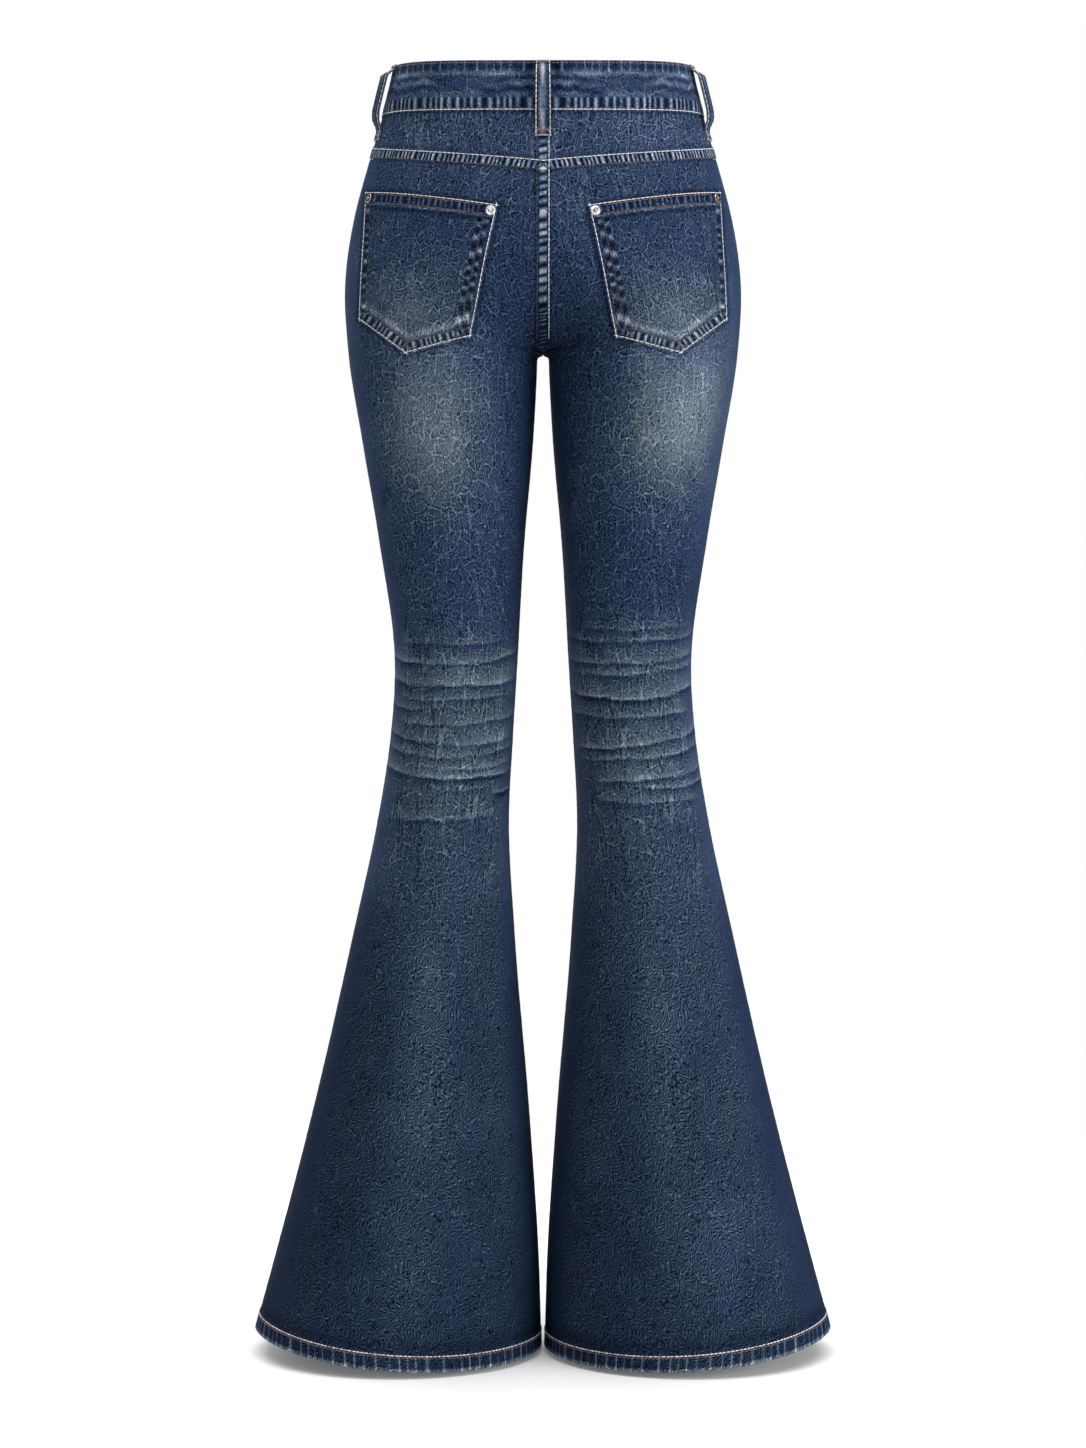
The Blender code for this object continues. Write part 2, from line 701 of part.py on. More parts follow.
def add_zip():
    """The closed zip's tape behind the fly, with a trough along its middle for the slider."""
    half = np.array([ZIP_HALF_WIDTH, ZIP_HALF_TROUGH + ZIP_TROUGH_SIDE, ZIP_HALF_TROUGH])
    offsets = np.concatenate([-half, half[::-1]])[None, :]
    trough = ZIP_TROUGH * (np.abs(offsets) <= ZIP_HALF_TROUGH)
    z = np.linspace(ZIP_TOP, ZIP_BOTTOM, ZIP_ROWS + 1)[:, None] + 0 * offsets
    centre_x, centre_y, radius_x, radius_y = ellipse(z)
    phi = -np.arccos(np.clip((np.abs(offsets) - centre_x) / radius_x, -1, 1))
    y = centre_y + radius_y * np.sin(phi) + ZIP_BEHIND + trough
    outer = np.stack([offsets + 0 * z, y, z], axis=-1)
    inner = outer + np.array([0, ZIP_CLOTH, 0])
    return add_wall("zip_tape", outer, inner, ZIP_CLOTH_FINISH)


def add_slider():
    """The slider with its pull tab hanging down in front of the tape."""
    outline = [(edge.half_width, -edge.down) for edge in SLIDER_EDGES]
    outline += [(-x, y) for x, y in reversed(outline)]
    curve = bpy.data.curves.new("zip_slider", "CURVE")
    curve.dimensions = "2D"
    curve.fill_mode = "BOTH"
    curve.extrude = SLIDER_THICKNESS / 2 * MM
    path = curve.splines.new("POLY")
    path.points.add(len(outline) - 1)
    for point, (x, y) in zip(path.points, outline):
        point.co = (x * MM, y * MM, 0, 1)
    path.use_cyclic_u = True
    made = add_object("zip_slider", curve, ZIP_METAL)
    top = skin(-math.pi / 2, np.array(ZIP_TOP - SLIDER_DOWN))
    low = skin(-math.pi / 2, np.array(ZIP_TOP - SLIDER_DOWN - SLIDER_LENGTH))
    inside = ZIP_BEHIND + ZIP_TROUGH / 2 - HALF_GAP
    across = Vector((1, 0, 0))
    up = Vector(top - low).normalized()
    turn = Matrix((across, up, across.cross(up))).transposed().to_4x4()
    made.matrix_world = Matrix.Translation(Vector((0, top[1] + inside, top[2])) * MM) @ turn
    return made


for old in list(bpy.data.objects):
    bpy.data.objects.remove(old, do_unlink=True)
PARTS = bpy.data.collections.new(NAME)
CUTTERS = bpy.data.collections.new("cutters")
bpy.context.scene.collection.children.link(PARTS)
bpy.context.scene.collection.children.link(CUTTERS)

for half, facing in (("left", 1), ("right", -1)):
    underlap = half == "right"
    waistband = add_band(f"waistband_{half}", facing, underlap)
    if not underlap:
        cut_buttonhole(waistband)
    add_yoke(f"yoke_{half}", facing)
    add_back_leg(f"back_leg_{half}", facing, FOLDS[f"back_{half}"])
    add_front_leg(f"front_leg_{half}", facing, FOLDS[f"front_{half}"])
    add_facing(f"pocket_facing_{half}", facing)
    add_pocket(f"back_pocket_{half}", facing)
    for rivet_corner in RIVET_SHARES:
        add_rivet(f"rivet_{half}_{rivet_corner}", facing, rivet_corner)
    add_loop(f"loop_side_{half}", facing, math.radians(SIDE_LOOP_ANGLE))
    add_loop(f"loop_front_{half}", facing, math.radians(FRONT_LOOP_ANGLE))
add_loop("loop_back", 1, math.pi / 2, LAP_RELIEF)
add_button()
add_zip()
add_slider()
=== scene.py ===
"""The looks of a pair of flared jeans: denim, sewing, rivets, button and zip, in a pale studio.

The cloth is made again on the form of its solids, as thin walls with a fine surface. Lengths are
in millimetres and heights are below the waistband's top edge, until a mesh is made in metres.
The back of the jeans faces +Y, and +X is the wearer's left. Cloth lies on one surface, the skin:
phi is 0 at a side seam and grows towards the back, z is the height, and the right half mirrors
the left. Wear and painted shade are given as the brightness that the denim should show, from 0 to 255.
"""

import math
from collections import namedtuple

import bpy
import numpy as np
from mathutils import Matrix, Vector


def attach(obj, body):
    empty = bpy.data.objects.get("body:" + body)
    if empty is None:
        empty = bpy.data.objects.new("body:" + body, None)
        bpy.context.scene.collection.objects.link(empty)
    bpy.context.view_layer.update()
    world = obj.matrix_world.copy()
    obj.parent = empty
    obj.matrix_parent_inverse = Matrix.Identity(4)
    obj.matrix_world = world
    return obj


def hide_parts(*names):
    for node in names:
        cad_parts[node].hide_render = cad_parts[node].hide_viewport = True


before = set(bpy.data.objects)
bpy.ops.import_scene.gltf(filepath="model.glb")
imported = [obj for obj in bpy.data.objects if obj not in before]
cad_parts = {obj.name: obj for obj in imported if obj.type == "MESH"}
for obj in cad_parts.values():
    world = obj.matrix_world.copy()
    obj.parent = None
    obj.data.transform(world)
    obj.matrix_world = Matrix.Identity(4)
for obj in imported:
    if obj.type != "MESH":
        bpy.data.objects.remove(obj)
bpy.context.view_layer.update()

MM = 0.001
TINY = 1e-6
TURN = 2 * math.pi
QUARTER = math.pi / 2
BACK = QUARTER
FRONT = -QUARTER
SHARP_ANGLE = math.radians(48)

# ---------------------------------------------------------------- sizes of the garment


def listed(kind, *rows):
    """A table's rows, each as one kind of named values."""
    return tuple(kind(*row) for row in rows)


# Half sections of the body: outer and inner reach from the middle, and depth to the back and front.
Section = namedtuple("Section", "z outer inner back front")
SECTIONS = listed(
    Section,
    (20, 116.0, 4.5, 82, 86), (0, 119.5, 4.5, 85, 88), (-40, 129.0, 4.5, 92, 93),
    (-80, 140.5, 4.5, 103, 98), (-120, 151.0, 4.5, 114, 102), (-175, 158.3, 4.5, 122, 102),
    (-230, 155.8, 4.5, 110, 92), (-300, 145.0, 8.0, 91, 82), (-380, 131.8, 15.0, 75, 73),
    (-480, 119.6, 20.8, 61, 62), (-540, 123.6, 24.5, 58, 62), (-600, 133.0, 27.5, 62, 65),
    (-700, 154.5, 22.7, 73, 74), (-835, 185.5, 11.6, 87, 88), (-965, 219.5, 3.2, 101, 101),
    (-1045, 241.5, 1.2, 109, 109),
)

# Where the legs part, and how square and how arched the crotch is.
SPLIT_TOP = -125
CROTCH = -230
CROTCH_SQUARENESS = 2.5
CROTCH_BLEND = 0.6
ARCH = 4.5
ARCH_SPREAD = 12
INSEAMS_PART = 30

# The waistband and its dips, the seam under the yoke, and the hem with its lean, bow and sag.
BAND_HEIGHT = 41
WAIST_DIP_BACK = 7
WAIST_DIP_FRONT = 20
YOKE_AT_CENTRE = -95.5
YOKE_AT_SIDE = -72.5
HEM = -1028
HEM_WIDTH = 14
HEM_TOP = HEM + HEM_WIDTH
HEM_SLOPE = 0.067
HEM_SLOPE_FROM = -640
HEM_BOW = 6
HEM_SAG = 2

# Gaps between pieces, thicknesses of cloth, and how far a layer stands out.
HALF_GAP = 0.15
CLOTH = 1.2
BAND_PROUD = 0.5
BAND_CLOTH = 2.4
BAND_LAP_GAP = 0.5
LAP_RELIEF = 0.5
LAP_HALF = 4.6
LAP_EDGE = 1.0
HEM_RELIEF = 0.5
HEM_CLOTH = 2.8
PATCH_GAP = 0.5
FACING_GAP = 0.7

# The front pockets: their mouths' share of the panel and depth, and the facings behind them.
MOUTH_SHARE = 0.46
MOUTH_DEPTH = 57
FACING_SHARE = 0.52
FACING_PAST_MOUTH = 14

# Belt loops, with angles in degrees round from the side seam.
LOOP_WIDTH = 12.4
LOOP_CLOTH = 1.6
LOOP_RISE = 6.5
SIDE_LOOP_ANGLE = 12
SIDE_LOOP_TWIST = 0.16
FRONT_LOOP_ANGLE = -60

# The band's end that lies under the buttoned one, and the buttonhole.
LAP_UNDER = 26
STEP_LENGTH = 5
UNDER_SHORTER = 1.5
BUTTON_FROM_CENTRE = 13
BUTTONHOLE_LENGTH = 15
BUTTONHOLE_HEIGHT = 5.8

# The zip, whose tape has a trough behind the fly for its teeth.
ZIP_TOP = -64
ZIP_BOTTOM = -155
ZIP_HALF_WIDTH = 14
ZIP_HALF_TROUGH = 6
ZIP_TROUGH_SIDE = 2
ZIP_TROUGH = 2.9
ZIP_CLOTH = 1.0
ZIP_BEHIND = 2.2

# Where a leg's rows of points are level again, and between which heights the knee folds lie.
SEAT_SETTLES = -195
FRONT_SETTLES = -150
FRONT_EVEN_FROM = -110
FOLDS_FROM = -430
FOLDS_TO = -622
TROUGH_SHARE = 0.3

# The back pockets' corners as seen from behind, their rivets, and their hem and inner row of stitches.
Corner = namedtuple("Corner", "x z")
POCKET = {
    "top_inner": Corner(34, -122),
    "top_outer": Corner(140, -104),
    "bottom_inner": Corner(56, -223),
    "bottom_tip": Corner(106, -236),
    "bottom_outer": Corner(144, -207),
}
POCKET_TIP_SHARE = 0.5
RIVET_DOWN = 0.055
POCKET_OUT = PATCH_GAP + CLOTH
POCKET_HEM = 9.3
POCKET_ROW = 9.0

# Belt loops from the top end down: how far below the band's top or bottom edge, what lies under
# them there, and how much of their full rise they stand off it.
Station = namedtuple("Station", "edge below over rise")
LOOP_STATIONS = listed(
    Station,
    ("top", 0.5, "band", 0), ("top", 4, "band", 0), ("top", 7, "band", 0.55), ("top", 10.5, "band", 1),
    ("top", 24, "band", 1.04), ("bottom", -2, "band", 1), ("bottom", 5, "band", 0.72),
    ("bottom", 9.5, "yoke", 0.22), ("bottom", 13, "yoke", 0), ("bottom", 20, "yoke", 0),
)

# The main folds at the knees: height, how far the middle sags and the outer end rises, and how
# far the ridge stands out.
Fold = namedtuple("Fold", "z sag rise ridge")
FOLDS = {
    "back_left": listed(
        Fold,
        (-460, 2, 1, 0.6), (-478, 3, 2, 1.2), (-494, 4, -2, 1.5), (-509, 3, 2, 0.9), (-525, 4, -5, 0.9),
        (-547, 5, -3, 1.1), (-561, 5, 3, 1.4), (-580, 3, 6, 0.8), (-597, 4, 2, 1.0),
    ),
    "back_right": listed(
        Fold,
        (-450, 2, 0, 0.6), (-467, 2, 2, 0.9), (-485, 3, -2, 1.1), (-504, 4, 1, 1.5), (-519, 3, -3, 1.0),
        (-533, 4, 6, 1.0), (-552, 4, 2, 1.2), (-569, 4, -2, 0.9), (-585, 3, 4, 0.9),
    ),
    "front_left": listed(
        Fold,
        (-470, 3, 3, 0.6), (-503, 4, -2, 0.8), (-540, 5, 3, 0.9), (-578, 4, -3, 0.6),
    ),
    "front_right": listed(
        Fold,
        (-462, 3, -3, 0.6), (-496, 4, 3, 0.8), (-533, 5, -2, 0.9), (-571, 4, 3, 0.6),
    ),
}

# Creases with a worn upper side and a painted shadow in a dark line under it. z is the lower edge in
# the crease's middle, start and end are shares of the panel from its inner to its outer seam, sag is
# how far the ends lie above the middle, rise how far the outer end lies above the inner one, tall is
# the height of the worn strip, wear how much brighter it is and how dark the painted shadow under it
# is, and depth how deep the line under it is.
Crease = namedtuple("Crease", "z start end sag rise tall wear depth")
CREASES = {
    "back_left": listed(
        Crease,
        (-461.2, 0.15, 0.88, 4.1, -1, 8, 18, 0.2), (-476.9, 0.02, 1.02, 10.8, -3, 5.8, 37, 0.6),
        (-494.1, 0, 1.02, 6.8, 0, 11.5, 40, 0.6), (-505.4, 0.05, 0.9, 5.4, -6, 5.8, 26, 0.4),
        (-513.7, 0.5, 0.95, 5.4, 4, 5.8, 24, 0.3), (-525, 0, 0.85, 5.4, -8, 5.8, 29, 0.4),
        (-540.7, 0.05, 1, 10.8, 8, 12.6, 31, 0.5), (-550.5, 0, 1, 12.2, 0, 6.9, 24, 0.4),
        (-560.3, 0.05, 0.75, 5.4, -3, 3.4, 26, 0.3), (-567.7, 0, 1.02, 10.8, 5, 9.2, 46, 0.6),
        (-577, 0.2, 0.62, 5.4, -6, 3.4, 18, 0.2), (-581.9, 0, 0.26, 0, -8, 2.3, 44, 0.3),
        (-600.6, 0.2, 0.82, 4.1, -5, 11.5, 24, 0.3),
    ),
    "back_right": listed(
        Crease,
        (-449.4, 0.1, 0.92, 4.1, 2, 5.8, 20, 0.2), (-459.2, 0.02, 1, 6.8, 4, 6.9, 29, 0.4),
        (-476.4, 0, 1, 8.1, 6, 10.3, 31, 0.6), (-485.2, 0.12, 1, 6.8, 12, 5.8, 33, 0.4),
        (-504.9, 0, 1.02, 13.5, 6, 8, 51, 0.7), (-519.1, 0.02, 0.92, 6.8, 3, 5.8, 31, 0.4),
        (-541.7, 0.05, 1.02, 6.8, 20, 9.2, 40, 0.6), (-552, 0.12, 1.02, 5.4, 15, 5.8, 35, 0.5),
        (-569.2, 0.22, 1, 4.1, 15, 10.3, 35, 0.4), (-576.5, 0.4, 1.02, 4.1, 10, 3.4, 42, 0.4),
        (-586.8, 0.22, 0.88, 2.7, 2, 9.2, 26, 0.3),
    ),
    "front_left": listed(
        Crease,
        (-470, 0.1, 0.9, 5, 4, 8, 18, 0.3), (-503, 0.05, 0.95, 6, -4, 9, 22, 0.4),
        (-521, 0.1, 0.7, 4, 3, 5, 16, 0.3), (-540, 0.02, 1.0, 6, 4, 10, 26, 0.5),
        (-560, 0.3, 0.95, 4, -5, 5, 18, 0.3), (-578, 0.05, 0.95, 5, -4, 8, 22, 0.4),
        (-206, -0.05, 0.5, 0, 26, 6, 26, 0.4), (-190, -0.05, 0.55, 0, 22, 5, 22, 0.4),
        (-222, 0.0, 0.6, 1, 16, 6, 24, 0.4), (-172, -0.02, 0.4, 0, 14, 4, 16, 0.3),
    ),
    "front_right": listed(
        Crease,
        (-462, 0.1, 0.9, 5, -4, 8, 18, 0.3), (-496, 0.05, 0.95, 6, 4, 9, 22, 0.4),
        (-514, 0.3, 0.9, 4, 3, 5, 16, 0.3), (-533, 0.02, 1.0, 6, -3, 10, 26, 0.5),
        (-552, 0.1, 0.7, 4, 5, 5, 18, 0.3), (-571, 0.05, 0.95, 5, 4, 8, 22, 0.4),
        (-203, -0.05, 0.52, 0, 24, 6, 26, 0.4), (-187, -0.05, 0.48, 0, 20, 5, 22, 0.4),
        (-220, 0.0, 0.62, 1, 18, 6, 24, 0.4), (-168, -0.02, 0.42, 0, 12, 4, 16, 0.3),
    ),
}

# Rubbed patches, and on the flares patches of painted light and shade: centre from the middle and height,
# half width, half height, added brightness.
Patch = namedtuple("Patch", "x z wide tall wear")
PATCHES = {
    "back_left": listed(
        Patch,
        (88, -272, 40, 52, 49), (140, -180, 26, 60, 9), (36, -860, 26, 130, 5), (146, -830, 24, 120, -4),
        (78, -325, 34, 40, 22), (74, -520, 34, 60, 12), (78, -200, 40, 30, 6), (60, -120, 36, 30, 3),
    ),
    "back_right": listed(
        Patch,
        (108, -270, 42, 52, 62), (140, -180, 26, 60, 9), (36, -860, 26, 130, 5), (110, -850, 30, 150, -7),
        (148, -840, 26, 120, 11), (192, -920, 30, 110, 5), (92, -322, 36, 40, 20), (76, -520, 34, 60, 3),
        (78, -200, 40, 30, 6), (60, -120, 36, 30, 3),
    ),
    "front_left": listed(
        Patch,
        (86, -330, 34, 95, 34), (76, -530, 34, 60, 14), (60, -120, 50, 40, 6),
    ),
    "front_right": listed(
        Patch,
        (82, -338, 34, 95, 32), (78, -525, 34, 60, 14), (60, -120, 50, 40, 6),
    ),
}

# The denim's brightness down the leg, before creases and patches.
Shade = namedtuple("Shade", "z level")
SHADES = listed(
    Shade,
    (0, 62), (-60, 66), (-100, 63), (-180, 58), (-250, 56), (-330, 58), (-420, 58), (-450, 61), (-480, 68),
    (-575, 68), (-625, 65), (-700, 54), (-850, 47), (-960, 44), (-1028, 42),
)

# The denim's colour for each brightness, dark to pale.
Tone = namedtuple("Tone", "level colour")
TONES = listed(
    Tone,
    (0, (2, 4, 8)), (22, (11, 20, 36)), (45, (29, 45, 71)), (63, (46, 63, 95)), (80, (63, 80, 105)),
    (94, (78, 94, 114)), (120, (108, 121, 143)), (160, (156, 163, 178)), (225, (216, 220, 226)),
)
WASHED_TONES = listed(
    Tone,
    (0, (2, 4, 7)), (22, (13, 21, 32)), (45, (32, 45, 62)), (63, (49, 63, 82)), (80, (66, 80, 97)),
    (94, (82, 94, 107)), (120, (108, 121, 132)), (160, (150, 163, 173)), (225, (214, 222, 226)),
)

# How much light the cloth gets in the studio: its colours are made that much darker.
LIGHT_ON_CLOTH = 1.25


# ---------------------------------------------------------------- the surface that cloth lies on


class Curve:
    """A smooth curve through given points, as a function of the first coordinate."""

    def __init__(self, xs, ys):
        order = np.argsort(xs)
        self.xs = np.asarray(xs, float)[order]
        self.ys = np.asarray(ys, float)[order]
        self.slopes = np.gradient(self.ys, self.xs)

    def __call__(self, at):
        piece = np.clip(np.searchsorted(self.xs, at) - 1, 0, len(self.xs) - 2)
        width = self.xs[piece + 1] - self.xs[piece]
        s = (at - self.xs[piece]) / width
        start = self.ys[piece] * (1 + 2 * s) * (1 - s) ** 2
        end = self.ys[piece + 1] * (3 - 2 * s) * s**2
        bends = self.slopes[piece] * s * (1 - s) ** 2 - self.slopes[piece + 1] * s**2 * (1 - s)
        return start + end + width * bends


PROFILE = {
    field: Curve([row.z for row in SECTIONS], [getattr(row, field) for row in SECTIONS])
    for field in ("outer", "inner", "back", "front")
}


def smooth_step(share):
    """0 up to 0 and 1 from 1 on, smooth between."""
    share = np.clip(share, 0, 1)
    return share**2 * (3 - 2 * share)


def bell(distance, width):
    """1 at no distance, and falling off to both sides."""
    return np.exp(-((distance / width) ** 2))


def parting(z):
    """How far the two halves have parted: 0 where they are one tube, and 1 from the crotch down."""
    share = np.clip((SPLIT_TOP - z) / (SPLIT_TOP - CROTCH), 0, 1)
    return share**2 * (2 - share**2)


def seat_seam(z):
    """How far out the seam between the halves lies, as a share of the section's depth."""
    share = np.clip((SPLIT_TOP - z) / (SPLIT_TOP - CROTCH), 0, 1)
    return (1 - share**CROTCH_SQUARENESS) ** (1 / CROTCH_SQUARENESS)


def ellipse(z):
    """Centre and radii of the left half's section at z: centre x, centre y, radius x, radius y."""
    outer = PROFILE["outer"](z)
    inner = PROFILE["inner"](z) * smooth_step((CROTCH - z) / INSEAMS_PART)
    apart = parting(z)
    radius_x = np.where(z < CROTCH, (outer - inner) / 2, outer / (1 + apart))
    back = PROFILE["back"](z)
    front = PROFILE["front"](z)
    return outer - radius_x, (back - front) / 2, radius_x, (back + front) / 2


def arch_shift(z):
    """How far the inseams stand apart just below the crotch, more than the ellipses do."""
    down = np.clip((CROTCH - z) / ARCH, 0, 1)
    spare = 1 - smooth_step((CROTCH - z) / INSEAMS_PART)
    return PROFILE["inner"](z) * spare * np.sqrt(1 - (1 - down) ** 2)


def end_angle(z):
    """phi at the centre seam, or at the inseam below the crotch."""
    return np.arccos(-parting(z))


def skin(phi, z):
    """The left half's surface at phi and z."""
    centre_x, centre_y, radius_x, radius_y = ellipse(z)
    inward = np.clip(-np.cos(phi), 0, 1)
    depth = np.abs(np.sin(phi))
    bridge = seat_seam(z)
    blend = CROTCH_BLEND * bridge * (1 - bridge) + 1e-9
    overlap = np.clip(1 - np.abs(depth - bridge) / blend, 0, 1)
    bridged = np.maximum(depth, bridge) + overlap**2 * blend / 4
    depth = np.where((inward > 0) & (z < SPLIT_TOP), bridged, depth)
    x = centre_x + radius_x * np.cos(phi) + arch_shift(z) * inward**ARCH_SPREAD
    y = centre_y + radius_y * depth * np.sign(np.sin(phi))
    return np.stack([x, y, z + 0 * x], axis=-1)


def skin_normal(phi, z):
    """The way straight out of the skin."""
    turn = 1e-3
    drop = 0.2
    across = skin(phi + turn, z) - skin(phi - turn, z)
    up = skin(phi, z + drop) - skin(phi, z - drop)
    normal = np.cross(across, up)
    return normal / np.linalg.norm(normal, axis=-1, keepdims=True)


def cloth_normal(phi, z):
    """The skin's normal, straight back or forward along the centre seam."""
    normal = skin_normal(phi, z)
    centre = (np.abs(skin(phi, z)[..., 0]) < TINY) & (z > CROTCH - 0.01)
    normal[..., 0] = np.where(centre, 0, normal[..., 0])
    return normal / np.linalg.norm(normal, axis=-1, keepdims=True)


def place(side, phi, z, out):
    """Points that stand off the skin, and its normals there. side is -1 on the right half."""
    phi, z, out = np.broadcast_arrays(phi, z, out)
    mirror = np.array([side, 1, 1])
    normal = cloth_normal(phi, z)
    return (skin(phi, z) + normal * out[..., None]) * mirror, normal * mirror


def seen_angle(x, z):
    """phi of the back's point that lies x from the middle."""
    centre_x, _, radius_x, _ = ellipse(z)
    return np.arccos(np.clip((x - centre_x) / radius_x, -1, 1))


def seam_share(level, distance):
    """The share of the turn from the back's centre seam or inseam that spans a distance on the skin."""
    shares = np.linspace(0, 0.5, 241)
    points = skin(end_angle(level) * (1 - shares), np.full(shares.shape, float(level)))
    steps = np.linalg.norm(np.diff(points, axis=0), axis=-1)
    return np.interp(distance, np.concatenate([[0], np.cumsum(steps)]), shares)


SHARE_LEVELS = np.concatenate([np.arange(-1060, -240, 20), np.arange(-240, -30, 2)]).astype(float)


def share_table(distance):
    """seam_share of one distance as a function of level."""
    shares = [seam_share(level, distance) for level in SHARE_LEVELS]
    return lambda level: np.interp(level, SHARE_LEVELS, shares)


LAP_SHARE = share_table(LAP_HALF)
LAP_EDGE_SHARE = share_table(LAP_HALF + LAP_EDGE)


def band_top(phi):
    """Height of the waistband's top edge, which dips at the back and more at the front."""
    dip = np.where(np.sin(phi) > 0, WAIST_DIP_BACK, WAIST_DIP_FRONT)
    return -dip * np.sin(phi) ** 2


def band_bottom(phi):
    return band_top(phi) - BAND_HEIGHT


def yoke_seam(t):
    """Height of the seam under the yoke, for t from 0 at the centre to 1 at the side seam."""
    return YOKE_AT_CENTRE + (YOKE_AT_SIDE - YOKE_AT_CENTRE) * t


def mouth_drop(t):
    """How far the front pocket's mouth is below the band, 0 before the mouth begins."""
    across = np.clip((1 - t) / MOUTH_SHARE, 0, 1)
    return MOUTH_DEPTH * np.sqrt(1 - across**2)


def tilted(level, phi):
    """Height of a row's points: below the knee the rows lean with the leg and bow up at its sides."""
    low = smooth_step((HEM_SLOPE_FROM - level) / (HEM_SLOPE_FROM - HEM))
    return level + low * (HEM_SLOPE * ellipse(level)[2] * np.cos(phi) + HEM_BOW * np.cos(phi) ** 2 - HEM_SAG)


def arc_length(points):
    """Distance along each row of points, from its first one."""
    steps = np.linalg.norm(np.diff(points, axis=-2), axis=-1)
    return np.concatenate([np.zeros(steps.shape[:-1] + (1,)), np.cumsum(steps, axis=-1)], axis=-1)


# ---------------------------------------------------------------- unevenness


def wander(s, seed):
    """A smooth uneven line between about -1 and 1 that never repeats, with features about 1 long."""
    rng = np.random.default_rng(seed)
    total = 0
    for share, pitch in ((0.5, 1.0), (0.3, 0.53), (0.2, 0.29)):
        total = total + share * np.sin(s / pitch * 2 + rng.uniform(0, TURN))
    return total


def mottle(u, v, seed):
    """Smooth uneven patches between 0 and 1 over a plane, about 1 across."""
    size = 64
    table = np.random.default_rng(seed).random((size, size))
    column = np.floor(u).astype(int)
    row = np.floor(v).astype(int)
    a = smooth_step(u - column)
    b = smooth_step(v - row)

    def corner(i, j):
        return table[(row + i) % size, (column + j) % size]

    top = corner(0, 0) * (1 - a) + corner(0, 1) * a
    low = corner(1, 0) * (1 - a) + corner(1, 1) * a
    return top * (1 - b) + low * b


# How often a seam's puckers drift and swell, in turns for each pucker.
ROPE_SLOW = 0.21
ROPE_SLOWER = 0.137
ROPE_SWELL = 0.171
ROPE_FLUTTER = 0.447


def rope(beat):
    """The puckers along a seam, from 0 between two to 1 on top of one, uneven in pitch and height."""
    shifted = beat + 0.22 * np.sin(TURN * ROPE_SLOW * beat) + 0.15 * np.sin(TURN * ROPE_SLOWER * beat + 1.7)
    ridge = 0.5 + 0.5 * np.cos(TURN * shifted)
    first = 0.3 * np.sin(TURN * ROPE_SWELL * beat + 0.6)
    second = 0.3 * np.sin(TURN * ROPE_FLUTTER * beat + 2.1)
    return ridge * np.clip(0.62 + first + second, 0, 1)


class Puckers:
    """Where each point lies beside the nearest sewn seam: across it, along it, and how strong it is."""

    FAR = 3.0

    def __init__(self, shape):
        self.across = np.full(shape, self.FAR)
        self.beat = np.zeros(shape)
        self.force = np.zeros(shape)

    def add(self, across, beat, force=1.0):
        """across is 0 on the puckers' middle and 1 at their end, and beat counts the puckers."""
        across, beat, force = np.broadcast_arrays(across, beat, force)
        nearer = np.abs(across) < np.abs(self.across)
        self.across = np.where(nearer, across, self.across)
        self.beat = np.where(nearer, beat, self.beat)
        self.force = np.where(nearer, force, self.force)

    def relief(self, height):
        return height * self.force * rope(self.beat) * smooth_step(1.4 - np.abs(self.across))


# ---------------------------------------------------------------- walls of cloth


def picked(count, step):
    """Every step-th index, with the last one."""
    return np.unique(np.append(np.arange(0, count, step), count - 1))


def quads(numbers):
    """The faces of a grid of point numbers."""
    corners = numbers[:-1, :-1], numbers[1:, :-1], numbers[1:, 1:], numbers[:-1, 1:]
    return np.stack(corners, -1).reshape(-1, 4)


def rim_faces(outside, inside, rows, columns):
    """The faces that close a wall between a fine outer grid and an inner one on picked rows and columns."""
    faces = []
    for a, b in zip(columns[:-1], columns[1:]):
        i, j = np.searchsorted(columns, (a, b))
        faces.append([*outside[0, a : b + 1], inside[0, j], inside[0, i]])
        faces.append([*outside[-1, a : b + 1][::-1], inside[-1, i], inside[-1, j]])
    for a, b in zip(rows[:-1], rows[1:]):
        i, j = np.searchsorted(rows, (a, b))
        faces.append([*outside[a : b + 1, 0][::-1], inside[i, 0], inside[j, 0]])
        faces.append([*outside[a : b + 1, -1], inside[j, -1], inside[i, -1]])
    return faces


def draw_in(outer, inner, here, neighbour):
    """Moves an edge of both grids half a seam's gap towards its neighbouring row or column."""
    along = outer[neighbour] - outer[here]
    along = along / np.maximum(np.linalg.norm(along, axis=-1, keepdims=True), TINY) * HALF_GAP
    outer[here] += along
    inner[here] += along


EDGES = (
    (np.s_[0, :], np.s_[1, :]),
    (np.s_[-1, :], np.s_[-2, :]),
    (np.s_[:, 0], np.s_[:, 1]),
    (np.s_[:, -1], np.s_[:, -2]),
)

# How much of a wall's thickness its edges are eased by on each face.
EDGE_EASE = 0.22


def new_mesh(name, points, faces):
    """A smooth mesh in metres from points in millimetres, with its sharp edges kept."""
    mesh = bpy.data.meshes.new(name)
    mesh.from_pydata(np.asarray(points) * MM, [], faces)
    mesh.shade_smooth()
    mesh.set_sharp_from_angle(angle=SHARP_ANGLE)
    return mesh


def new_object(name, data, *materials):
    """An object in the scene, at the origin."""
    made = bpy.data.objects.new(name, data)
    bpy.context.scene.collection.objects.link(made)
    for material in materials:
        data.materials.append(material)
    return made


def plain_mesh(made):
    """What an object's modifiers make of it, as a mesh of its own."""
    return bpy.data.meshes.new_from_object(made.evaluated_get(bpy.context.evaluated_depsgraph_get()))


def keep_values(mesh, values):
    """Keeps values at a mesh's points for its material."""
    for name, value in values.items():
        attribute = mesh.attributes.new(name, "FLOAT", "POINT")
        attribute.data.foreach_set("value", value.astype(np.float32).ravel())


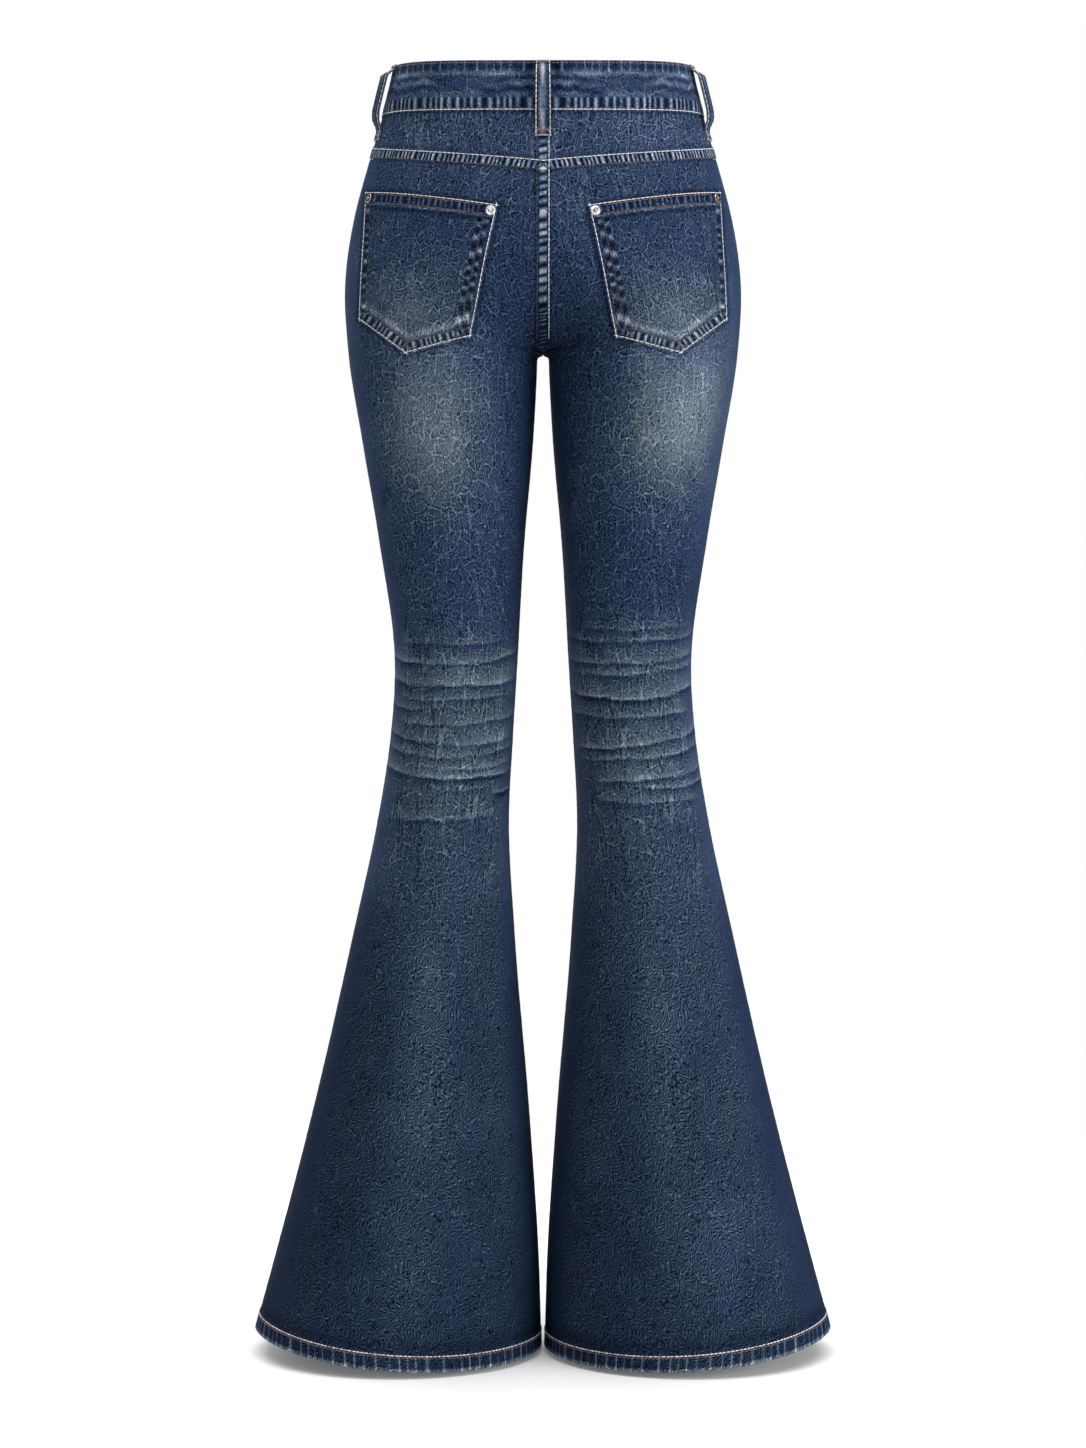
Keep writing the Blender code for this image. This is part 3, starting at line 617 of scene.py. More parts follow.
def keep_cut(mesh, cut):
    """A UV map in metres of the cloth as it lies flat."""
    layer = mesh.uv_layers.new(name="cut")
    corner = np.zeros(len(mesh.loops), np.int32)
    mesh.loops.foreach_get("vertex_index", corner)
    layer.uv.foreach_set("vector", (cut[corner] * MM).astype(np.float32).ravel())


def wall(name, outer, inner, steps, materials, cut, values):
    """A closed wall of cloth with a fine outer face. steps are the inner face's row and column steps."""
    rows, columns = outer.shape[:2]
    inner_rows = picked(rows, steps[0])
    inner_columns = picked(columns, steps[1])
    keep = np.ix_(inner_rows, inner_columns)
    outside = np.arange(rows * columns).reshape(rows, columns)
    inside = rows * columns + np.arange(len(inner_rows) * len(inner_columns)).reshape(len(inner_rows), -1)
    points = np.concatenate([outer.reshape(-1, 3), inner[keep].reshape(-1, 3)])
    outer_faces = quads(outside)
    inner_faces = quads(inside)[:, ::-1]
    faces = outer_faces.tolist() + rim_faces(outside, inside, inner_rows, inner_columns)
    inner_from = len(faces)
    faces += inner_faces.tolist()
    i, j = rows // 2, columns // 2
    facing = np.cross(outer[i + 1, j] - outer[i, j], outer[i, j + 1] - outer[i, j])
    if facing @ (outer[i, j] - inner[i, j]) < 0:
        faces = [face[::-1] for face in faces]
    mesh = new_mesh(name, points, faces)
    material_index = np.zeros(len(faces), np.int32)
    material_index[inner_from:] = 1
    mesh.polygons.foreach_set("material_index", material_index)
    keep_values(mesh, {key: np.concatenate([v.ravel(), v[keep].ravel()]) for key, v in values.items()})
    keep_cut(mesh, np.concatenate([cut.reshape(-1, 2), cut[keep].reshape(-1, 2)]))
    return new_object(name, mesh, *materials)


def cloth(
    name, side, phi, z, out, thickness, cut, level, puckers, steps=(3, 3), whole=False, plain=0.0, washed=0.0,
):
    """One piece of cloth over the skin, built on the left and mirrored for the right.

    level is its brightness, puckers its seams' marks, plain how little texture it shows, and
    washed how grey its blue is. A whole piece crosses the centre line.
    """
    grids = np.broadcast_arrays(phi, z, out, thickness, level, plain, washed)
    phi, z, out, thickness, level, plain, washed = grids
    points, normal = place(1, phi, z, out)
    outer = points.copy()
    inner = points - normal * thickness[..., None]
    ease = normal * thickness[..., None] * EDGE_EASE
    centre = (np.abs(points[:, 0, 0]) < TINY) & (z[:, 0] > CROTCH)
    seam = outer[centre, 0], inner[centre, 0]
    for here, neighbour in EDGES:
        draw_in(outer, inner, here, neighbour)
        outer[here] -= ease[here]
        inner[here] += ease[here]
    if not whole:
        outer[centre, 0], inner[centre, 0] = seam
        for grid in (outer, inner):
            grid[..., 0] = np.maximum(grid[..., 0], np.where(z > CROTCH, 0, HALF_GAP))
    mirror = np.array([side, 1, 1])
    values = {
        # brightness of the wear and of the painted shade
        "worn": level / 255,
        "across": puckers.across,
        "beat": puckers.beat,
        "force": puckers.force,
        "plain": plain,
        "washed": washed,
    }
    materials = (DENIM, DENIM_INSIDE)
    return wall(name, outer * mirror, inner * mirror, steps, materials, cut, values)


# ---------------------------------------------------------------- materials

# The weave's slanting ribs: how far apart, and how they lean.
TWILL_PITCH = 1.5
TWILL_LEAN = 1.7


def linear(value):
    """A brightness of 0 to 255 as light."""
    share = value / 255
    return share / 12.92 if share <= 0.04045 else ((share + 0.055) / 1.055) ** 2.4


def colour(red, green, blue, light=1.0):
    """A colour that shows with the given brightnesses under a light of the given strength."""
    return (linear(red) / light, linear(green) / light, linear(blue) / light, 1.0)


class Sock:
    """A socket of a shader that Python's operators work on."""

    def __init__(self, shader, socket):
        self.shader = shader
        self.socket = socket

    def math(self, operation, *others):
        return self.shader.node("Math", {"operation": operation}, dict(enumerate((self, *others))))

    def __add__(self, other):
        return self.math("ADD", other)

    def __sub__(self, other):
        return self.math("SUBTRACT", other)

    def __rsub__(self, other):
        return self.shader.node("Math", {"operation": "SUBTRACT"}, {0: other, 1: self})

    def __mul__(self, other):
        return self.math("MULTIPLY", other)

    def __truediv__(self, other):
        return self.math("DIVIDE", other)

    def __pow__(self, other):
        return self.math("POWER", other)

    __radd__ = __add__
    __rmul__ = __mul__

    def size(self):
        return self.math("ABSOLUTE")

    def wave(self, pitch=1.0, phase=0.0):
        """Sine of the value, with one turn for each pitch."""
        return (self * (TURN / pitch) + phase).math("SINE")

    def between(self, low, high):
        """0 below low and 1 above high, smooth between. low may be the greater."""
        settings = {"interpolation_type": "SMOOTHSTEP"}
        return self.shader.node("MapRange", settings, {"Value": self, "From Min": low, "From Max": high})

    def scaled(self, *factors):
        """A vector times one factor for each axis."""
        return self.shader.node("VectorMath", {"operation": "MULTIPLY"}, {0: self, 1: factors})

    def moved(self, other):
        return self.shader.node("VectorMath", {"operation": "ADD"}, {0: self, 1: other})


class Shader:
    """A material's nodes."""

    def __init__(self, name, **constants):
        self.material = bpy.data.materials.new(name)
        self.material.use_nodes = True
        self.tree = self.material.node_tree
        self.surface = self.tree.nodes["Principled BSDF"]
        for key, value in constants.items():
            self.surface.inputs[key.replace("_", " ")].default_value = value

    def node(self, kind, settings=None, sockets=None, output=0):
        """Adds a node: its settings are set first, and then the values or links of its sockets."""
        made = self.tree.nodes.new("ShaderNode" + kind)
        for key, value in (settings or {}).items():
            if key == "stops":
                set_stops(made.color_ramp, value)
            else:
                setattr(made, key, value)
        for key, value in (sockets or {}).items():
            if isinstance(value, Sock):
                self.tree.links.new(value.socket, made.inputs[key])
            else:
                made.inputs[key].default_value = value
        return Sock(self, made.outputs[output])

    def give(self, key, value):
        self.tree.links.new(value.socket, self.surface.inputs[key])

    def value(self, name):
        """A value kept at the piece's points."""
        return self.node("Attribute", {"attribute_name": name}, output="Fac")

    def cut(self):
        """Place on the cloth as it was cut, in millimetres."""
        return self.node("UVMap", {"uv_map": "cut"}).scaled(1000, 1000, 1000)

    def own(self):
        """Place on the object, in millimetres."""
        return self.node("TexCoord", output="Object").scaled(1000, 1000, 1000)

    def noise(self, vector, detail=2.0, rough=0.5, flat=True, output=0):
        settings = {"noise_dimensions": "2D" if flat else "3D"}
        sockets = {"Vector": vector, "Scale": 1.0, "Detail": detail, "Roughness": rough}
        return self.node("TexNoise", settings, sockets, output)

    def bump(self, height, strength=1.0):
        """Gives the surface its relief, from a height in millimetres."""
        self.give("Normal", self.node("Bump", None, {"Strength": strength, "Distance": MM, "Height": height}))

    def ramp(self, value, stops):
        return self.node("ValToRGB", {"stops": stops}, {"Fac": value})


def set_stops(ramp, stops):
    """Gives a colour ramp its positions and colours."""
    ramp.elements[0].position = stops[0][0]
    ramp.elements[0].color = stops[0][1]
    ramp.elements[1].position = stops[-1][0]
    ramp.elements[1].color = stops[-1][1]
    for position, tint in stops[1:-1]:
        ramp.elements.new(position).color = tint


def twill(shader, cut, lean):
    """The weave's slanting ribs."""
    across = shader.node("VectorMath", {"operation": "DOT_PRODUCT"}, {0: cut, 1: (1, lean, 0)}, 1)
    return across.wave(TWILL_PITCH)


def squiggles(shader, place_on, size, spacing, thick, seed):
    """Thin light winding lines about spacing apart with dark ones beside them: positive is light."""
    moved = place_on.scaled(1 / size, 0.8 / size, 0).moved((seed * 7, seed, 0))
    sockets = {"Vector": moved, "Scale": 1.0, "Frequency": size / spacing, "Anisotropy": 0.0}
    phase = shader.node("TexGabor", {"gabor_type": "2D"}, sockets, "Phase")
    strength = shader.node("TexGabor", {"gabor_type": "2D"}, sockets, "Intensity")
    away = ((phase - 0.5) * (spacing / thick)).size()
    light = away.between(0.65, 0.2) + (away - 2.0).size().between(0.7, 0.1) * 0.35
    dark = (away - 1.0).size().between(0.65, 0.2)
    return (light - dark * 0.85) * strength.between(0.06, 0.22)


def loose_net(shader, place_on, size, seed):
    """Thin light lines between dark ones that meet in a loose net with meshes about size across."""
    bend = shader.noise(place_on.scaled(1 / size, 1 / size, 0).moved((seed, 5, 0)), 2.0, output=1)
    bent = place_on.moved(bend.scaled(size, size, 0)).scaled(1 / size, 0.7 / size, 0).moved((seed * 5, 0, 0))
    settings = {"feature": "DISTANCE_TO_EDGE", "voronoi_dimensions": "2D"}
    away = shader.node("TexVoronoi", settings, {"Vector": bent, "Scale": 1.0}, "Distance") * size
    light = away.between(0.55, 0.2) * 0.85
    dark = (away - 0.95).size().between(0.5, 0.15)
    broken = shader.noise(place_on.scaled(1 / 7, 1 / 9, 0).moved((seed, 0, 0)), 1.0).between(0.26, 0.46)
    return (light - dark * 0.9) * broken


def slubs(shader, place_on, seed):
    """Long thin light lines with dark sides that run down the warp, and stop and start."""
    field = shader.noise(place_on.scaled(1 / 6, 1 / 60, 0).moved((seed * 3, 0, 0)), 2.0, 0.35)
    away = (field - 0.5).size() * 13.0
    light = away.between(0.6, 0.2)
    dark = (away - 1.05).size().between(0.5, 0.15)
    broken = shader.noise(place_on.scaled(1 / 9, 1 / 24, 0).moved((seed, 9, 0)), 1.0).between(0.42, 0.56)
    return (light - dark * 0.9) * broken


def denim_shader():
    """Washed indigo denim, with its abrasion and painted shade, its seams' puckers and its weave."""
    shader = Shader("denim", Specular_IOR_Level=0.03)
    cut = shader.cut()
    # Brightness of the wear and painted shade kept at the cloth's points.
    worn = shader.value("worn") * 255
    across = shader.value("across").size()
    beat = shader.value("beat")
    force = shader.value("force")
    plain = shader.value("plain")

    coarse = loose_net(shader, cut, 7.2, 1.0) + loose_net(shader, cut, 5.4, 3.0) * 0.7
    fine = squiggles(shader, cut, 9, 4.3, 0.75, 5.0)
    open_weave = shader.noise(cut.scaled(1 / 18, 1 / 24, 0), 1.0).between(0.38, 0.6)
    thread = slubs(shader, cut, 2.0)
    grain = shader.noise(cut.scaled(1.1, 0.8, 0), 2.0, 0.6) - 0.5
    ribs = twill(shader, cut, TWILL_LEAN)
    cloudy = shader.noise(cut.scaled(1 / 11, 1 / 15, 0).moved((4, 4, 0)), 2.0) - 0.5

    height = shader.node("SeparateXYZ", None, {0: cut}, "Y")
    low = height.between(-600, -740)
    knee = height.between(-410, -460) * height.between(-640, -600)
    lines = coarse * (0.8 + open_weave * 0.2 - low * 0.35) + fine * (0.75 - open_weave * 0.25 + low * 0.75)
    contrast = (0.5 - worn.between(68, 105) * 0.2) * (1 - plain * 0.7)
    texture = lines * (1 - knee * 0.15) + thread * (0.5 + knee * 0.25 - low * 0.25)
    texture = texture + grain * 0.45 + cloudy * 0.2

    shifted = beat + beat.wave(1 / ROPE_SLOW) * 0.22 + beat.wave(1 / ROPE_SLOWER, 1.7) * 0.15
    ridge = 0.5 + shifted.wave(1.0, QUARTER) * 0.5
    swell = 0.72 + beat.wave(1 / ROPE_SWELL, 0.6) * 0.2 + beat.wave(1 / ROPE_FLUTTER, 2.1) * 0.22
    uneven = swell.math("MINIMUM", 1.0)
    ragged = shader.noise(cut.scaled(1 / 2.2, 1 / 2.2, 0).moved((8, 1, 0)), 1.0) - 0.5
    edge = across + ragged * 0.5
    on_seam = edge.between(1.15, 0.7) * force
    thin = force.between(0.5, 0.43)
    mark = (ridge ** (1.6 + (1 - force) * 5.0 + thin * 9.0)) * uneven * on_seam
    hollow = (1 - ridge) * on_seam

    level = worn * (1 + texture * contrast) * (1 - hollow * (0.74 - thin * 0.4)) + mark * (92 + thin * 80)
    blue, grey = [
        shader.ramp(level / 255, [(tone.level / 255, colour(*tone.colour, LIGHT_ON_CLOTH)) for tone in tones])
        for tones in (TONES, WASHED_TONES)
    ]
    patchy = shader.noise(cut.scaled(1 / 22, 1 / 180, 0).moved((2, 7, 0)), 2.0) - 0.5
    washed = (shader.value("washed") * (1 + patchy * 1.4)).math("MINIMUM", 1.0)
    shader.give("Base Color", shader.node("Mix", {"data_type": "RGBA"}, {0: washed, 6: blue, 7: grey}, 2))
    shader.give("Roughness", 0.94 - worn.between(40, 120) * 0.1)
    shader.bump(lines * 0.1 + thread * 0.06 + ribs * 0.03 + grain * 0.12 + mark * 0.3, 0.8)
    return shader.material


def denim_inside_shader():
    """The inner face of the denim, pale because the undyed weft shows."""
    shader = Shader("denim_inside", Roughness=0.92, Specular_IOR_Level=0.2)
    cut = shader.cut()
    grain = shader.noise(cut.scaled(1.2, 0.9, 0), 2.0, 0.6) - 0.5
    ribs = twill(shader, cut, -TWILL_LEAN)
    cloudy = shader.noise(cut.scaled(1 / 9, 1 / 16, 0), 2.0) - 0.5
    level = 0.5 + grain * 0.8 + ribs * 0.12 + cloudy * 0.5
    shader.give("Base Color", shader.ramp(level, [
        (0.0, colour(78, 90, 108, LIGHT_ON_CLOTH)),
        (0.5, colour(116, 127, 144, LIGHT_ON_CLOTH)),
        (1.0, colour(160, 168, 180, LIGHT_ON_CLOTH)),
    ]))
    shader.bump(ribs * 0.05 + grain * 0.15, 0.8)
    return shader.material


def thread_shader(name, dark, pale):
    """Sewing thread, uneven in colour along its line."""
    shader = Shader(name, Roughness=0.65, Specular_IOR_Level=0.35, Sheen_Weight=0.15)
    spot = shader.noise(shader.own().scaled(1 / 2.6, 1 / 2.6, 1 / 2.6), 2.0, flat=False)
    shader.give("Base Color", shader.ramp(spot, [
        (0.36, colour(*dark, LIGHT_ON_CLOTH)),
        (0.52, colour(*pale, LIGHT_ON_CLOTH)),
    ]))
    strand = shader.noise(shader.own().scaled(3.0, 3.0, 3.0), 1.0, flat=False)
    shader.bump(strand * 0.12, 0.6)
    return shader.material


SOOT = (0.01, 0.01, 0.012, 1)


def metal_shader(name, dark, pale, rough, groove=0.0, deep=0.0):
    """Worn cast metal with fine scratches, with painted shade darkening a ring about 1 mm wide at the
    groove's radius.
    """
    shader = Shader(name, Metallic=1.0)
    own = shader.own()
    spot = shader.noise(own.scaled(0.5, 0.5, 0.5), 2.0, 0.5, flat=False)
    scratch = shader.noise(own.scaled(0.6, 7.0, 3.0), 2.0, 0.6, flat=False)
    groove_shade = (shader.value("radius") - groove).size().between(0.9, 0.3) * deep
    stops = [(0.0, SOOT), (0.35, colour(*dark)), (0.62, colour(*pale))]
    shader.give("Base Color", shader.ramp(spot - groove_shade, stops))
    shader.give("Roughness", rough + (spot - 0.5) * 0.25 + (scratch - 0.5) * 0.2)
    shader.bump(spot * 0.03 + scratch * 0.02, 0.6)
    return shader.material


def tape_shader():
    """The woven tape of a zip: fine ribs along it."""
    shader = Shader("zip_cloth", Roughness=0.9, Specular_IOR_Level=0.2)
    cut = shader.cut()
    rib = shader.node("SeparateXYZ", None, {0: cut}).wave(1.1)
    grain = shader.noise(cut.scaled(1.6, 1.6, 0), 2.0) - 0.5
    shader.give("Base Color", shader.ramp(0.5 + rib * 0.2 + grain * 0.6, [
        (0.0, colour(16, 22, 36)), (1.0, colour(44, 54, 76)),
    ]))
    shader.bump(rib * 0.06 + grain * 0.06, 0.8)
    return shader.material


def floor_shader():
    """A pale matt floor that fades to nothing all round."""
    shader = Shader(
        "pale_floor", Base_Color=(0.78, 0.78, 0.78, 1.0), Roughness=0.9, Specular_IOR_Level=0.1,
        Emission_Color=(1.0, 1.0, 1.0, 1.0), Emission_Strength=0.1,
    )
    away = shader.node("VectorMath", {"operation": "LENGTH"}, {0: shader.own()}, 1)
    shader.give("Alpha", away.between(1250, 600))
    return shader.material


# ---------------------------------------------------------------- threads and teeth


def stitch_tree():
    """Geometry nodes that lay thread stitches along the edges of a mesh, standing as "lift" says."""
    tree = bpy.data.node_groups.new("stitches", "GeometryNodeTree")
    tree.interface.new_socket("Geometry", in_out="INPUT", socket_type="NodeSocketGeometry")
    for name in ("Pitch", "Length", "Width", "Height"):
        tree.interface.new_socket(name, in_out="INPUT", socket_type="NodeSocketFloat")
    tree.interface.new_socket("Thread", in_out="INPUT", socket_type="NodeSocketMaterial")
    tree.interface.new_socket("Geometry", in_out="OUTPUT", socket_type="NodeSocketGeometry")

    def node(kind, settings=None, sockets=None):
        made = tree.nodes.new(kind)
        for key, value in (settings or {}).items():
            setattr(made, key, value)
        for key, value in (sockets or {}).items():
            if isinstance(value, bpy.types.NodeSocket):
                tree.links.new(value, made.inputs[key])
            else:
                made.inputs[key].default_value = value
        return made

    given = node("NodeGroupInput").outputs
    line = node("GeometryNodeMeshToCurve", None, {"Mesh": given["Geometry"]})
    spaced = node("GeometryNodeResampleCurve", {"mode": "LENGTH"}, {"Curve": line.outputs[0]})
    tree.links.new(given["Pitch"], spaced.inputs["Length"])
    ball = node("GeometryNodeMeshIcoSphere", None, {"Radius": 0.5, "Subdivisions": 1})
    smooth = node("GeometryNodeSetShadeSmooth", None, {"Geometry": ball.outputs[0]})
    sizes = dict(zip("XYZ", (given["Length"], given["Width"], given["Height"])))
    size = node("ShaderNodeCombineXYZ", None, sizes)
    lift = node("GeometryNodeInputNamedAttribute", {"data_type": "FLOAT_VECTOR"}, {"Name": "lift"})
    along = node("FunctionNodeAlignRotationToVector", {"axis": "X"}, {
        "Vector": node("GeometryNodeInputTangent").outputs[0],
    })
    turned_out = node("FunctionNodeAlignRotationToVector", {"axis": "Z", "pivot_axis": "X"}, {
        "Rotation": along.outputs[0], "Vector": lift.outputs[0],
    })
    laid = node("GeometryNodeInstanceOnPoints", None, {
        "Points": spaced.outputs[0],
        "Instance": smooth.outputs[0],
        "Rotation": turned_out.outputs[0],
        "Scale": size.outputs[0],
    })
    real = node("GeometryNodeRealizeInstances", None, {"Geometry": laid.outputs[0]})
    dyed = node("GeometryNodeSetMaterial", None, {"Geometry": real.outputs[0], "Material": given["Thread"]})
    end = node("NodeGroupOutput")
    tree.links.new(dyed.outputs[0], end.inputs[0])
    return tree


# How far apart a thread's stitches lie, and how large each is.
Thread = namedtuple("Thread", "pitch length width height")


def lay(name, lines, thread, material):
    """Lays stitches along lines, each a pair of points in millimetres and normals, as one plain mesh."""
    points = np.concatenate([line[0] for line in lines])
    lifts = np.concatenate([line[1] for line in lines])
    edges, first = [], 0
    for line in lines:
        count = len(line[0])
        edges += [(first + k, first + k + 1) for k in range(count - 1)]
        first += count
    mesh = bpy.data.meshes.new(name)
    mesh.from_pydata(points * MM, edges, [])
    attribute = mesh.attributes.new("lift", "FLOAT_VECTOR", "POINT")
    attribute.data.foreach_set("vector", lifts.astype(np.float32).ravel())
    guide = new_object(name + "_guide", mesh)
    layer = guide.modifiers.new("stitches", "NODES")
    layer.node_group = STITCHES
    inputs = {item.name: item.identifier for item in STITCHES.interface.items_tree if item.in_out == "INPUT"}
    for key, value in thread._asdict().items():
        layer[inputs[key.capitalize()]] = value * MM
    layer[inputs["Thread"]] = material
    plain = plain_mesh(guide)
    bpy.data.objects.remove(guide)
    plain.name = name
    if "lift" in plain.attributes:
        plain.attributes.remove(plain.attributes["lift"])
    made = new_object(name, plain)
    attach(made, "root")


SEWN = {"cream": [], "hem": [], "rust": [], "brown": [], "tack": [], "teeth": []}
THREAD_LIFT = 0.12


def sew(kind, side, phi, z, out):
    """Adds one line of stitches on the outer face of a piece of cloth."""
    SEWN[kind].append(place(side, phi, z, np.asarray(out, float) + THREAD_LIFT))


# ---------------------------------------------------------------- pieces of cloth


# Where each piece lay on the cloth before it was cut, so that no two show the same stretch of weave.
CUT_FROM = {"leg": 400, "band": 300, "facing": 900, "pocket": 600, "loop": 1200}

# Flat width and length of each piece of cloth in metres, and its area where it isn't a rectangle.
Flat = namedtuple("Flat", "size area")


def stand_for(made, node):
    """A piece moves with the jeans, and takes its node's place."""
    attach(made, "root")
    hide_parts(node)


def finish_cloth(made, node):
    """Gives a piece of cloth its node's place."""
    stand_for(made, node)


def spans(*stretches):
    """Numbers through given stretches, each (start, step), the last one only a start."""
    parts = []
    for (start, step), (end, _) in zip(stretches[:-1], stretches[1:]):
        count = max(1, round(abs(end - start) / step))
        parts.append(np.linspace(start, end, count + 1)[:-1])
    return np.append(np.concatenate(parts), stretches[-1][0])


# A leg's rows of points from the crotch down: where each stretch starts, and how far apart they are.
TOP_ROWS_APART = 2.4
LOWER_ROWS = (
    (CROTCH, 0.3), (CROTCH - 0.6, 0.7), (CROTCH - 4.8, 3.4), (FOLDS_FROM, 1.5), (FOLDS_TO, 4.0),
    (HEM_TOP + 1.2, 0.5), (HEM_TOP - 1, 1.3), (HEM + 1.0, 0.5), (HEM, 0),
)


class Leg:
    """A leg panel's form. t is 0 at the centre seam or inseam and 1 at the side seam.

    turn is 1 for a back panel and -1 for a front one, first is its top row's height before the
    rows bend to top_edge, and settles is where they are level again.
    """

    def __init__(self, name, side, turn, first, settles, top_edge):
        self.name = name
        self.side = side
        self.turn = turn
        self.first = first
        self.settles = settles
        self.top_edge = top_edge
        folds = FOLDS[name]
        levels = [FOLDS_FROM, *(fold.z for fold in folds), FOLDS_TO]
        self.sag = lambda level: np.interp(-level, np.negative(levels), [0, *(f.sag for f in folds), 0])
        self.rise = lambda level: np.interp(-level, np.negative(levels), [0, *(f.rise for f in folds), 0])
        crests = [(FOLDS_FROM, 0)]
        for before, after in zip((None, *folds), folds):
            if before:
                trough = -TROUGH_SHARE * min(before.ridge, after.ridge)
                crests.append(((before.z + after.z) / 2, trough))
            crests.append((after.z, after.ridge))
        crests.append((FOLDS_TO, 0))
        self.crests = Curve(*zip(*crests))

    def ridge(self, level):
        return np.where((level < FOLDS_FROM) & (level > FOLDS_TO), self.crests(level), 0)

    def form(self, t, level):
        """phi, z and stand-off of the panel's plain form, folds and hem."""
        angle = self.turn * end_angle(level) * (1 - t)
        bow = 4 * t * (1 - t)
        settle = np.clip((level - self.settles) / (self.first - self.settles), 0, 1)
        height = level + settle * self.top_edge(t, angle) - self.sag(level) * bow
        height = height + self.rise(level) * (t - 0.5)
        angle = self.turn * end_angle(height) * (1 - t)
        out = self.ridge(level) * bow
        out = out + HEM_RELIEF * smooth_step(HEM_TOP + 0.5 - level)
        if self.turn > 0:
            lap = (LAP_EDGE_SHARE(level) - t) / (LAP_EDGE_SHARE(level) - LAP_SHARE(level))
            out = out + LAP_RELIEF * smooth_step(lap) * (level > CROTCH)
        return angle, tilted(height, angle), out


def crease_marks(creases, t, z, seed):
    """Added brightness, with a painted shadow under each crease, and relief of the creases at points of a
    panel.
    """
    wear = np.zeros(z.shape)
    relief = np.zeros(z.shape)
    for number, crease in enumerate(creases):
        s = (t - crease.start) / (crease.end - crease.start) * 2 - 1
        wobble = wander(t * 7, seed + number) * 0.9 + wander(t * 23, seed + 50 + number) * 0.35
        path = crease.z + crease.sag * s**2 + crease.rise * (t - 0.5) + wobble
        fade = smooth_step((1 - np.abs(s)) * 3.2)
        fade = fade * np.clip(0.8 + 0.4 * wander(t * 5, seed + 90 + number), 0, 1.2)
        above = z - path
        strip = smooth_step(above / 0.9 + 0.5) * np.exp(-np.clip(above, 0, None) / (crease.tall * 0.75))
        bright = bell(above - 0.9, 1.1)
        # A painted shadow in a dark line under the crease.
        under = bell(above + 1.3, 1.5) + 0.45 * bell(above + 3.5, 2.6)
        middle = smooth_step((1.05 - np.abs(s)) * 1.6)
        wear += fade * crease.wear * (1.1 * strip + 0.5 * bright * middle - 0.72 * under * middle)
        inside = smooth_step(np.minimum(t, 1 - t) / 0.14)
        line = bell(above + 1.0, 1.2)
        relief += fade * middle * inside * crease.depth * (0.9 * strip - 1.1 * line)
    return wear, relief


def width_share(x, z):
    """How far across a leg a point is seen, from 0 at its inner edge to 1 at its outer one."""
    outer, inner = PROFILE["outer"](z), PROFILE["inner"](z)
    return (x - inner) / (outer - inner)


def rubbed_and_shaded(x, z, patch):
    """1 in a patch's middle, and falling off over its half width and half height."""
    return np.exp(-((x - patch.x) / patch.wide) ** 2 - ((z - patch.z) / patch.tall) ** 2)


CROTCH_SHADOW = Patch(4, -222, 40, 34, -10)


def leg_level(leg, x, z, u):
    """Brightness of a leg panel's cloth before its creases."""
    level = np.interp(-z, [-shade.z for shade in SHADES], [shade.level for shade in SHADES])
    for patch in PATCHES[leg.name]:
        level = level + patch.wear * rubbed_and_shaded(x, z, patch)
    s = np.clip(width_share(x, z), 0, 1)
    below = smooth_step((-600 - z) / 120)
    strip = bell(s - 0.52, 0.2) * (0.7 + 0.5 * mottle(u / 45, z / 140, seed=31))
    level = level + below * (17 * strip - 5) * np.interp(-z, [600, 720, 900, 1028], [0, 1, 0.95, 0.45])
    # Painted shade along the thighs' inner and outer edges, and below the knees along the outer edges.
    thigh = smooth_step((-235 - z) / 40) * smooth_step((z + 640) / 60)
    level = level - thigh * 5 * (smooth_step((0.2 - s) / 0.2) + 0.7 * smooth_step((s - 0.86) / 0.14))
    level = level - below * 4 * smooth_step((s - 0.84) / 0.16)
    level = level + CROTCH_SHADOW.wear * rubbed_and_shaded(x, z, CROTCH_SHADOW)
    # On a back panel, a painted shadow of the back pocket on the leg, just outside its edge.
    if leg.turn > 0:
        inside_pocket = np.min([away for away, _ in edge_distances(x, z)], axis=0)
        level = level - 24 * bell(inside_pocket + 1.4, 1.3)
    cloud = mottle(u / 30 + 7, z / 38, 5 + leg.side) - 0.5 + 0.6 * (mottle(u / 11, z / 15, seed=9) - 0.5)
    return level * (1 + 0.16 * cloud)


def leg_edges(x, z):
    """How smooth the cloth is: 1 along a leg's outer and inner edges and 0 over the rest."""
    share = width_share(x, z)
    inner_edge = smooth_step((0.12 - share) / 0.1) * smooth_step((CROTCH - z) / 40)
    return smooth_step((share - 0.84) / 0.13) + inner_edge


SEAT_LEVELS = np.arange(-260.0, 21.0)
SEAT_BEATS = np.cumsum(1 / np.interp(SEAT_LEVELS, [-203, -192], [2.9, 7.2]))


def seat_beat(z):
    """The puckers of the seat seam counted by height: they are closer together towards the crotch."""
    return np.interp(z, SEAT_LEVELS, SEAT_BEATS)


def seat_seam_dark(along):
    """The dark lines on both sides of the seat seam's stitches, at distances from the seam; the outer one is
    a painted shadow along the lap's edge.
    """
    return 22 * bell(along - 3.7, 0.7) + 14 * bell(along - 6.0, 1.0)


# Further across a seam than any pucker reaches.
NOWHERE = 9


